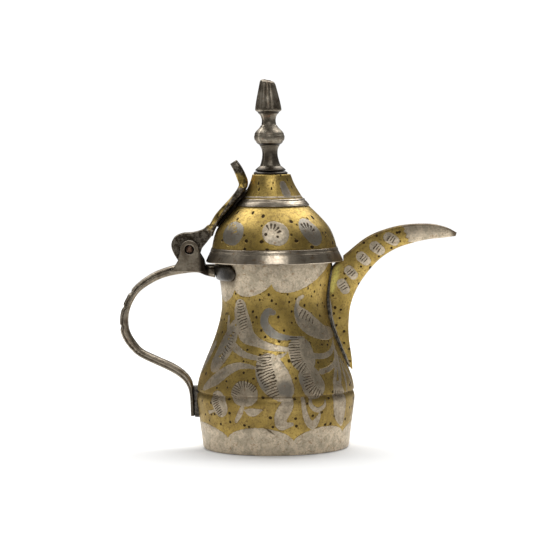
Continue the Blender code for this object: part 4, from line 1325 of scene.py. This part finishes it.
def make_finial():
    low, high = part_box("finial")
    top = high.z / MM
    heights = np.arange(top - 0.12, FINIAL_FOOT, -0.22)
    radius, centre = cad_profile("finial", heights, leaning=True, soften=0.35)
    groove = sum(deep * hill(heights, at, wide) for at, deep, wide in FINIAL_LINES)
    rows = [(0.3, top, centre[0]), (1.6, top - 0.03, centre[0])]
    rows += list(zip(radius - groove, heights, centre))
    stem_low = low.z / MM + 0.2
    stem = [(1.6, FINIAL_FOOT - 0.1), (1.6, stem_low), (0.8, stem_low - 0.1)]
    rows += [(r, z, centre[-1]) for r, z in stem]

    def flutes(turn, height):
        inside = fade(height, CONE_LOW, 0.8) * fade(height, CONE_HIGH, -1.2)
        wave = np.abs(np.sin(0.5 * FLUTES * turn + 0.3)) ** 0.7
        return inside * (0.30 * (wave - 0.85))

    finial = spindle("finial_casting", rows, 180, flutes)
    points = coordinates(finial)
    near_top = fade(points[:, 2], top - BREAK_DEPTH, BREAK_DEPTH)
    lean = fade(points[:, 0], centre[0] - 3.0, 6.0)
    points[:, 2] -= 1.2 * near_top * lean + 0.15 * near_top * np.sin(1.9 * points[:, 1])
    set_coordinates(finial, points)
    # painted shade on the foot's lower edge below z 126.6; the neck below z 137 is painted darker, and the
    # turned grooves hold dirt
    grime_and_shade = np.maximum(0.45 * fade(points[:, 2], 137.0, -2.0), 0.75 * fade(points[:, 2], 126.6, -1.2))
    for at, amount, wide in FINIAL_GRIME:
        grime_and_shade = np.maximum(grime_and_shade, amount * hill(points[:, 2], at, wide))
    paint(finial, "patina_and_shade", grime_and_shade)
    finish_piece(finial, "finial", "lid", ["finial"])
    make_finial_seat()
    nut = frame["nodes"]["finial_nut"].data.materials
    nut.clear()
    nut.append(MATERIALS["iron"])


def make_finial_seat():
    low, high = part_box("finial_seat")
    middle = 0.5 * (low.x + high.x) / MM
    top, bottom = high.z / MM, low.z / MM
    out = 0.5 * (high.x - low.x) / MM
    rows = [(2.0, FINIAL_FOOT + 0.1), (out - 1.2, FINIAL_FOOT + 0.1), (out - 0.9, top + 0.1),
            (out - 0.6, top - 0.05), (out - 0.5, top - 0.25), (out - 0.6, top - 0.5),
            (out - 0.8, DOME_CROWN - 0.1),
            (out - 1.6, bottom + 0.2), (out - 1.8, bottom), (2.0, bottom)]
    seat = ring_shell("finial_seat_ring", [(r, z, middle) for r, z in rows], 120)
    finish_piece(seat, "saddle", "lid", ["finial_seat"])


# ---------------------------------------------------------------- handle and hinge

HANDLE_STATIONS = [(-26.4, 79.6, 5.8, 4.4), (-30.4, 80.1, 4.8, 4.6),
                   (-34.5, 80.7, 3.2, 5.0), (-41.0, 80.8, 4.2, 4.6),
                   (-49.2, 79.1, 3.9, 4.0), (-55.7, 76.3, 3.7, 4.0), (-61.7, 72.0, 3.4, 4.0),
                   (-65.2, 67.1, 3.5, 4.0), (-67.3, 62.0, 3.6, 4.2), (-67.95, 57.0, 3.74, 4.2),
                   (-67.4, 52.2, 3.9, 4.0), (-65.0, 47.6, 3.8, 4.0), (-60.7, 43.0, 3.4, 4.0),
                   (-53.4, 39.3, 3.4, 4.0), (-46.8, 36.2, 3.5, 4.0), (-41.8, 32.8, 3.3, 4.0),
                   (-38.9, 29.0, 2.9, 4.0), (-37.9, 24.0, 1.8, 4.0), (-37.5, 14.3, 1.7, 4.0)]
NOTCHES = [(-64.6, 70.3), (-68.0, 63.8), (-69.2, 55.0)]
NOTCH_DEEP, NOTCH_WIDE = 1.0, 0.8
SWELL_HIGH, SWELL_WIDE = 0.04, 2.6  # between two notches
EAR_HALF = 6.0
EAR_THICK = 2.2
EAR_RADIUS = 4.1
SLOT_RADIUS = 8.8
BORE_RADIUS, BORE_REACH = 1.65, 9.0
SINK_RADIUS, SINK_DEPTH = 2.15, 1.1
NECK_CLEAR = 26.7
FOOT_HALF = 3.7
PAD_SEED = 11


def handle_section(thick, half, outer_shift):
    """Moulded section: bead and groove near the outer edge. Rows of (outwards, across)."""
    h = 0.5 * thick
    bead_size = min(1.0, 0.3 * thick)
    top = h + outer_shift
    profile = [(top, 0.0), (top, 0.45), (top - 0.1, 0.72), (top - 0.35 * bead_size, 0.88),
               (top - 0.75 * bead_size, 0.92), (top - 1.0 * bead_size, 0.84), (top - 1.2 * bead_size, 0.78),
               (top - 1.4 * bead_size, 0.86), (top - 1.65 * bead_size, 0.96), (0.15 * top - 0.2 * h, 1.0),
               (-0.55 * h, 0.99), (-0.85 * h, 0.90), (-h, 0.72), (-h, 0.0)]
    right = [(n, half * w) for n, w in profile]
    return right + [(n, -w) for n, w in right[-2:0:-1]]


def sweep(name, stations, samples, section):
    """Loft of sections along a path of (x, z, thickness, half width) rows."""
    path = smooth_path(stations, samples)
    rings = []
    for i, (x, z, thick, half) in enumerate(path):
        ahead, behind = path[min(i + 1, len(path) - 1)], path[max(i - 1, 0)]
        run = np.array([ahead[0] - behind[0], ahead[1] - behind[1]])
        run = run / np.hypot(*run)
        side = np.array([run[1], -run[0]])
        rings.append([(x + side[0] * n, w, z + side[1] * n) for n, w in section(x, z, thick, half, side)])
    return loft(name, rings)


def make_handle():
    def section(x, z, thick, half, side):
        back = np.array([x, z]) + 0.5 * thick * side
        shift = 0.0
        for notch in NOTCHES:
            shift -= NOTCH_DEEP * hill(math.dist(back, notch), 0.0, NOTCH_WIDE)
        for pair in zip(NOTCHES, NOTCHES[1:]):
            shift += SWELL_HIGH * hill(math.dist(back, np.mean(pair, axis=0)), 0.0, SWELL_WIDE)
        return handle_section(thick, half, shift)

    handle = sweep("handle_casting", HANDLE_STATIONS, 14, section)
    fork_outline = [(-47.0, 79.6), (-44.6, 82.4), (-43.4, 84.4), (-42.4, 88.0)]
    fork_outline += arc(EAR_RADIUS, PIN.x, PIN.z, np.radians(np.arange(172.0, -12.0, -8.0)))
    fork_outline += [(-33.4, 87.6), (-31.6, 84.6), (-31.2, 83.0), (-30.6, 80.0), (-34.0, 79.4)]
    fork = plate("fork", fork_outline, EAR_HALF)
    boolean(handle, [fork], "UNION")
    inner = EAR_HALF - EAR_THICK
    sink = (EAR_HALF - SINK_DEPTH, EAR_HALF + 2.0)
    cutters = [rod_y("slot", SLOT_RADIUS, -inner, inner, sides=96),
               rod_y("bore", BORE_RADIUS, -BORE_REACH, BORE_REACH),
               rod_y("sink", SINK_RADIUS, -sink[1], -sink[0]),
               rod_y("sink", SINK_RADIUS, sink[0], sink[1]),
               neck_cutter("neck", NECK_CLEAR, 95.0, 70.0)]
    boolean(handle, cutters, "DIFFERENCE")
    as_casting(handle, 0.22, 3)
    points = coordinates(handle)
    # painted shade: the arm's root between the ear and the neck, under the lid rim, is painted near black
    root = fade(points[:, 0], -34.6, 2.2) * np.clip((-28.6 - points[:, 0]) / 1.5, 0.25, 1.0)
    root = root * (points[:, 2] > 60.0)
    # the foot is painted darker towards the wall and the bottom
    foot = 0.6 * fade(points[:, 2], 30.0, -4.0) * np.clip((points[:, 0] + 39.6) / 1.4, 0.2, 1.0)
    paint(handle, "patina_and_shade", np.maximum(root, foot))
    finish_piece(handle, "handle", "pot", ["handle"])
    make_saddle()
    make_foot_pad()
    make_pin()


SADDLE_SPREAD = 47.0  # degrees to each side of the handle
SADDLE_BEVEL = [(-1.0, 0.25), (-1.0, 1.0), (-0.9, 1.42), (-0.6, 1.55)]  # share of the height, thickness
SADDLE_SECTION = SADDLE_BEVEL + [(0.0, 1.6)] + [(-t, out) for t, out in SADDLE_BEVEL[::-1]] + [(0.0, 0.25)]


def make_saddle():
    """Plate round the neck with rounded ends and a bevelled edge."""
    low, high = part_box("neck_saddle")
    middle = 0.5 * (low.z + high.z) / MM
    tall = 0.5 * (high.z - low.z) / MM - 0.1
    spread = SADDLE_SPREAD
    heights = np.linspace(middle + tall, middle - tall, 40)
    radius, _ = cad_profile("body_upper", heights)
    rings = []
    for a in np.linspace(-spread, spread, 110):
        past = max(0.0, abs(a) - spread + 8.0) / 8.0
        reach = tall * max(0.16, math.sqrt(max(0.0, 1.0 - past ** 2.2)))
        edge = 1.0 - 0.5 * past ** 3
        turn = math.radians(180.0 + a)
        ring = []
        for t, out in SADDLE_SECTION:
            z = middle + reach * t
            r = float(np.interp(z, heights[::-1], radius[::-1])) + (out if out <= 0.25 else out * edge)
            ring.append((r * math.cos(turn), r * math.sin(turn), z))
        rings.append(ring)
    saddle = loft("saddle_plate", rings)
    saddle.data.set_sharp_from_angle(angle=math.radians(60))
    finish_piece(saddle, "saddle", "pot", ["neck_saddle"])


def soft_copy(node, name, voxel, rounds, swell):
    """Softened copy of a CAD node for lumpy solder, swollen against its neighbours."""
    obj = add_object(name, frame["nodes"][node].data.copy())
    as_casting(obj, voxel, rounds)
    normals = np.zeros(3 * len(obj.data.vertices), np.float32)
    obj.data.vertices.foreach_get("normal", normals)
    set_coordinates(obj, coordinates(obj) + swell * normals.reshape(-1, 3))
    return obj


def make_foot_pad():
    """Solder between the end of the handle and the wall, spread a little past the pad."""
    heights = np.linspace(27.6, 13.8, 44)
    wall, _ = cad_profile("body_upper", np.maximum(heights, 26.6))
    wall_low, _ = cad_profile("body_lower", np.minimum(heights, 25.6))
    wall = np.where(heights > 26.2, wall, wall_low)
    uneven = lumps(PAD_SEED, len(heights))
    rings = []
    for i, z in enumerate(heights):
        end = min(1.0, (27.8 - z) / 1.6, (z - 13.6) / 1.2)
        half = FOOT_HALF * (0.75 + 0.25 * end) + 0.6 * uneven[i]
        out = float(np.interp(z, [14.4, 24.0, 29.0], [36.7, 37.1, 37.6])) + 0.3 * (end - 1.0)
        root = math.sqrt((wall[i] - 0.35) ** 2 - half ** 2)
        rings.append([(-root, -half, z), (-out + 0.5, -half, z), (-out, -half + 0.5, z),
                      (-out, half - 0.5, z), (-out + 0.5, half, z), (-root, half, z)])
    pad = as_casting(loft("foot_solder", rings), 0.16, 3)
    finish_piece(pad, "solder", "pot", ["handle_foot_pad"])


PIN_HEAD = [(0.2, 5.55), (0.9, 5.5), (1.45, 5.32), (1.72, 5.0), (1.6, 4.75), (1.3, 4.7)]


def make_pin():
    """Hinge pin with hammered heads."""
    rows = [(r, z, 0.0) for r, z in PIN_HEAD] + [(r, -z, 0.0) for r, z in PIN_HEAD[::-1]]
    pin = spindle("pin", rows, 48, lambda turn, height: 0.06 * np.sin(3 * turn) * (np.abs(height) > 4.8))
    points = coordinates(pin)
    set_coordinates(pin, np.stack([PIN.x + points[:, 0], points[:, 2], PIN.z - points[:, 1]], axis=-1))
    finish_piece(pin, "iron", "pot", ["hinge_pin"])


# ---------------------------------------------------------------- lid strap

STRAP_STATIONS = [(-29.6, 96.4, 4.6, 3.5), (-27.6, 99.6, 3.3, 5.2), (-25.2, 103.6, 3.3, 7.0),
                  (-22.2, 107.2, 3.1, 7.4), (-18.7, 111.1, 2.8, 7.2), (-15.3, 115.2, 3.1, 6.4),
                  (-13.6, 118.4, 4.1, 5.5), (-14.4, 121.6, 4.2, 5.3), (-16.1, 125.4, 3.9, 5.5),
                  (-18.0, 128.5, 3.4, 4.8)]
KNUCKLE_OUTLINE = [(-43.4, 84.8), (-45.5, 88.5), (-46.2, 92.0), (-44.6, 95.2), (-41.0, 96.8), (-36.4, 97.1),
                   (-32.0, 98.4), (-29.4, 100.2), (-27.2, 97.2), (-29.8, 93.2), (-32.4, 90.0), (-33.8, 86.8),
                   (-38.1, 85.4), (-43.4, 84.8)]


STRAP_STRAIGHT = 117.0  # the scallops end here


def make_strap():
    def section(x, z, thick, half, side):
        h = 0.5 * thick
        scallop = 0.35 * math.sin((z - 99.0) * 0.85)
        half = half + scallop * (z < STRAP_STRAIGHT)
        right = [(h, 0.0), (h, half - 1.2), (h - 0.25, half - 0.5), (h - 0.8, half), (-h + 0.6, half),
                 (-h + 0.15, half - 0.3), (-h, half - 0.8), (-h, 0.0)]
        return right + [(n, -w) for n, w in right[-2:0:-1]]

    strap = sweep("strap_forging", STRAP_STATIONS, 12, section)
    outline = smooth_path(KNUCKLE_OUTLINE, 5)[:-1]
    knuckle = plate("knuckle", [tuple(p) for p in outline], EAR_HALF - EAR_THICK - 0.3)
    boolean(strap, [knuckle], "UNION")
    boolean(strap, [rod_y("bore", BORE_RADIUS, -BORE_REACH, BORE_REACH)], "DIFFERENCE")
    as_casting(strap, 0.2, 4)
    x, _, z = coordinates(strap).T
    reach = np.hypot(x - PIN.x, z - PIN.z)
    # painted shade: the side that faces the lid is blackened along the scalloped part, away from the knuckle
    under = (x + 25.0) * 0.84 - (z - 105.0) * 0.55
    black = np.clip((15.5 - reach) / 6.0, 0.24, 1.0)
    black = np.maximum(black, np.clip((under - 0.6) / 0.8, 0.0, 0.9) * (z < STRAP_STRAIGHT) * (reach > 12.0))
    black = np.maximum(black, np.clip((z - 121.5) / 5.0, 0.0, 0.75))
    paint(strap, "patina_and_shade", black)
    finish_piece(strap, "strap", "lid", ["lid_strap"])
    # solder bed under the strap, swollen and near black so that it also stands for the shade between strap
    # and lid as painted shade
    bed = soft_copy("strap_bed", "strap_solder", 0.16, 2, 0.45)
    finish_piece(bed, "saddle", "lid", ["strap_bed"])


make_camera()
make_stage()
make_body()
make_beak()
make_lid()
make_finial()
make_handle()
make_strap()
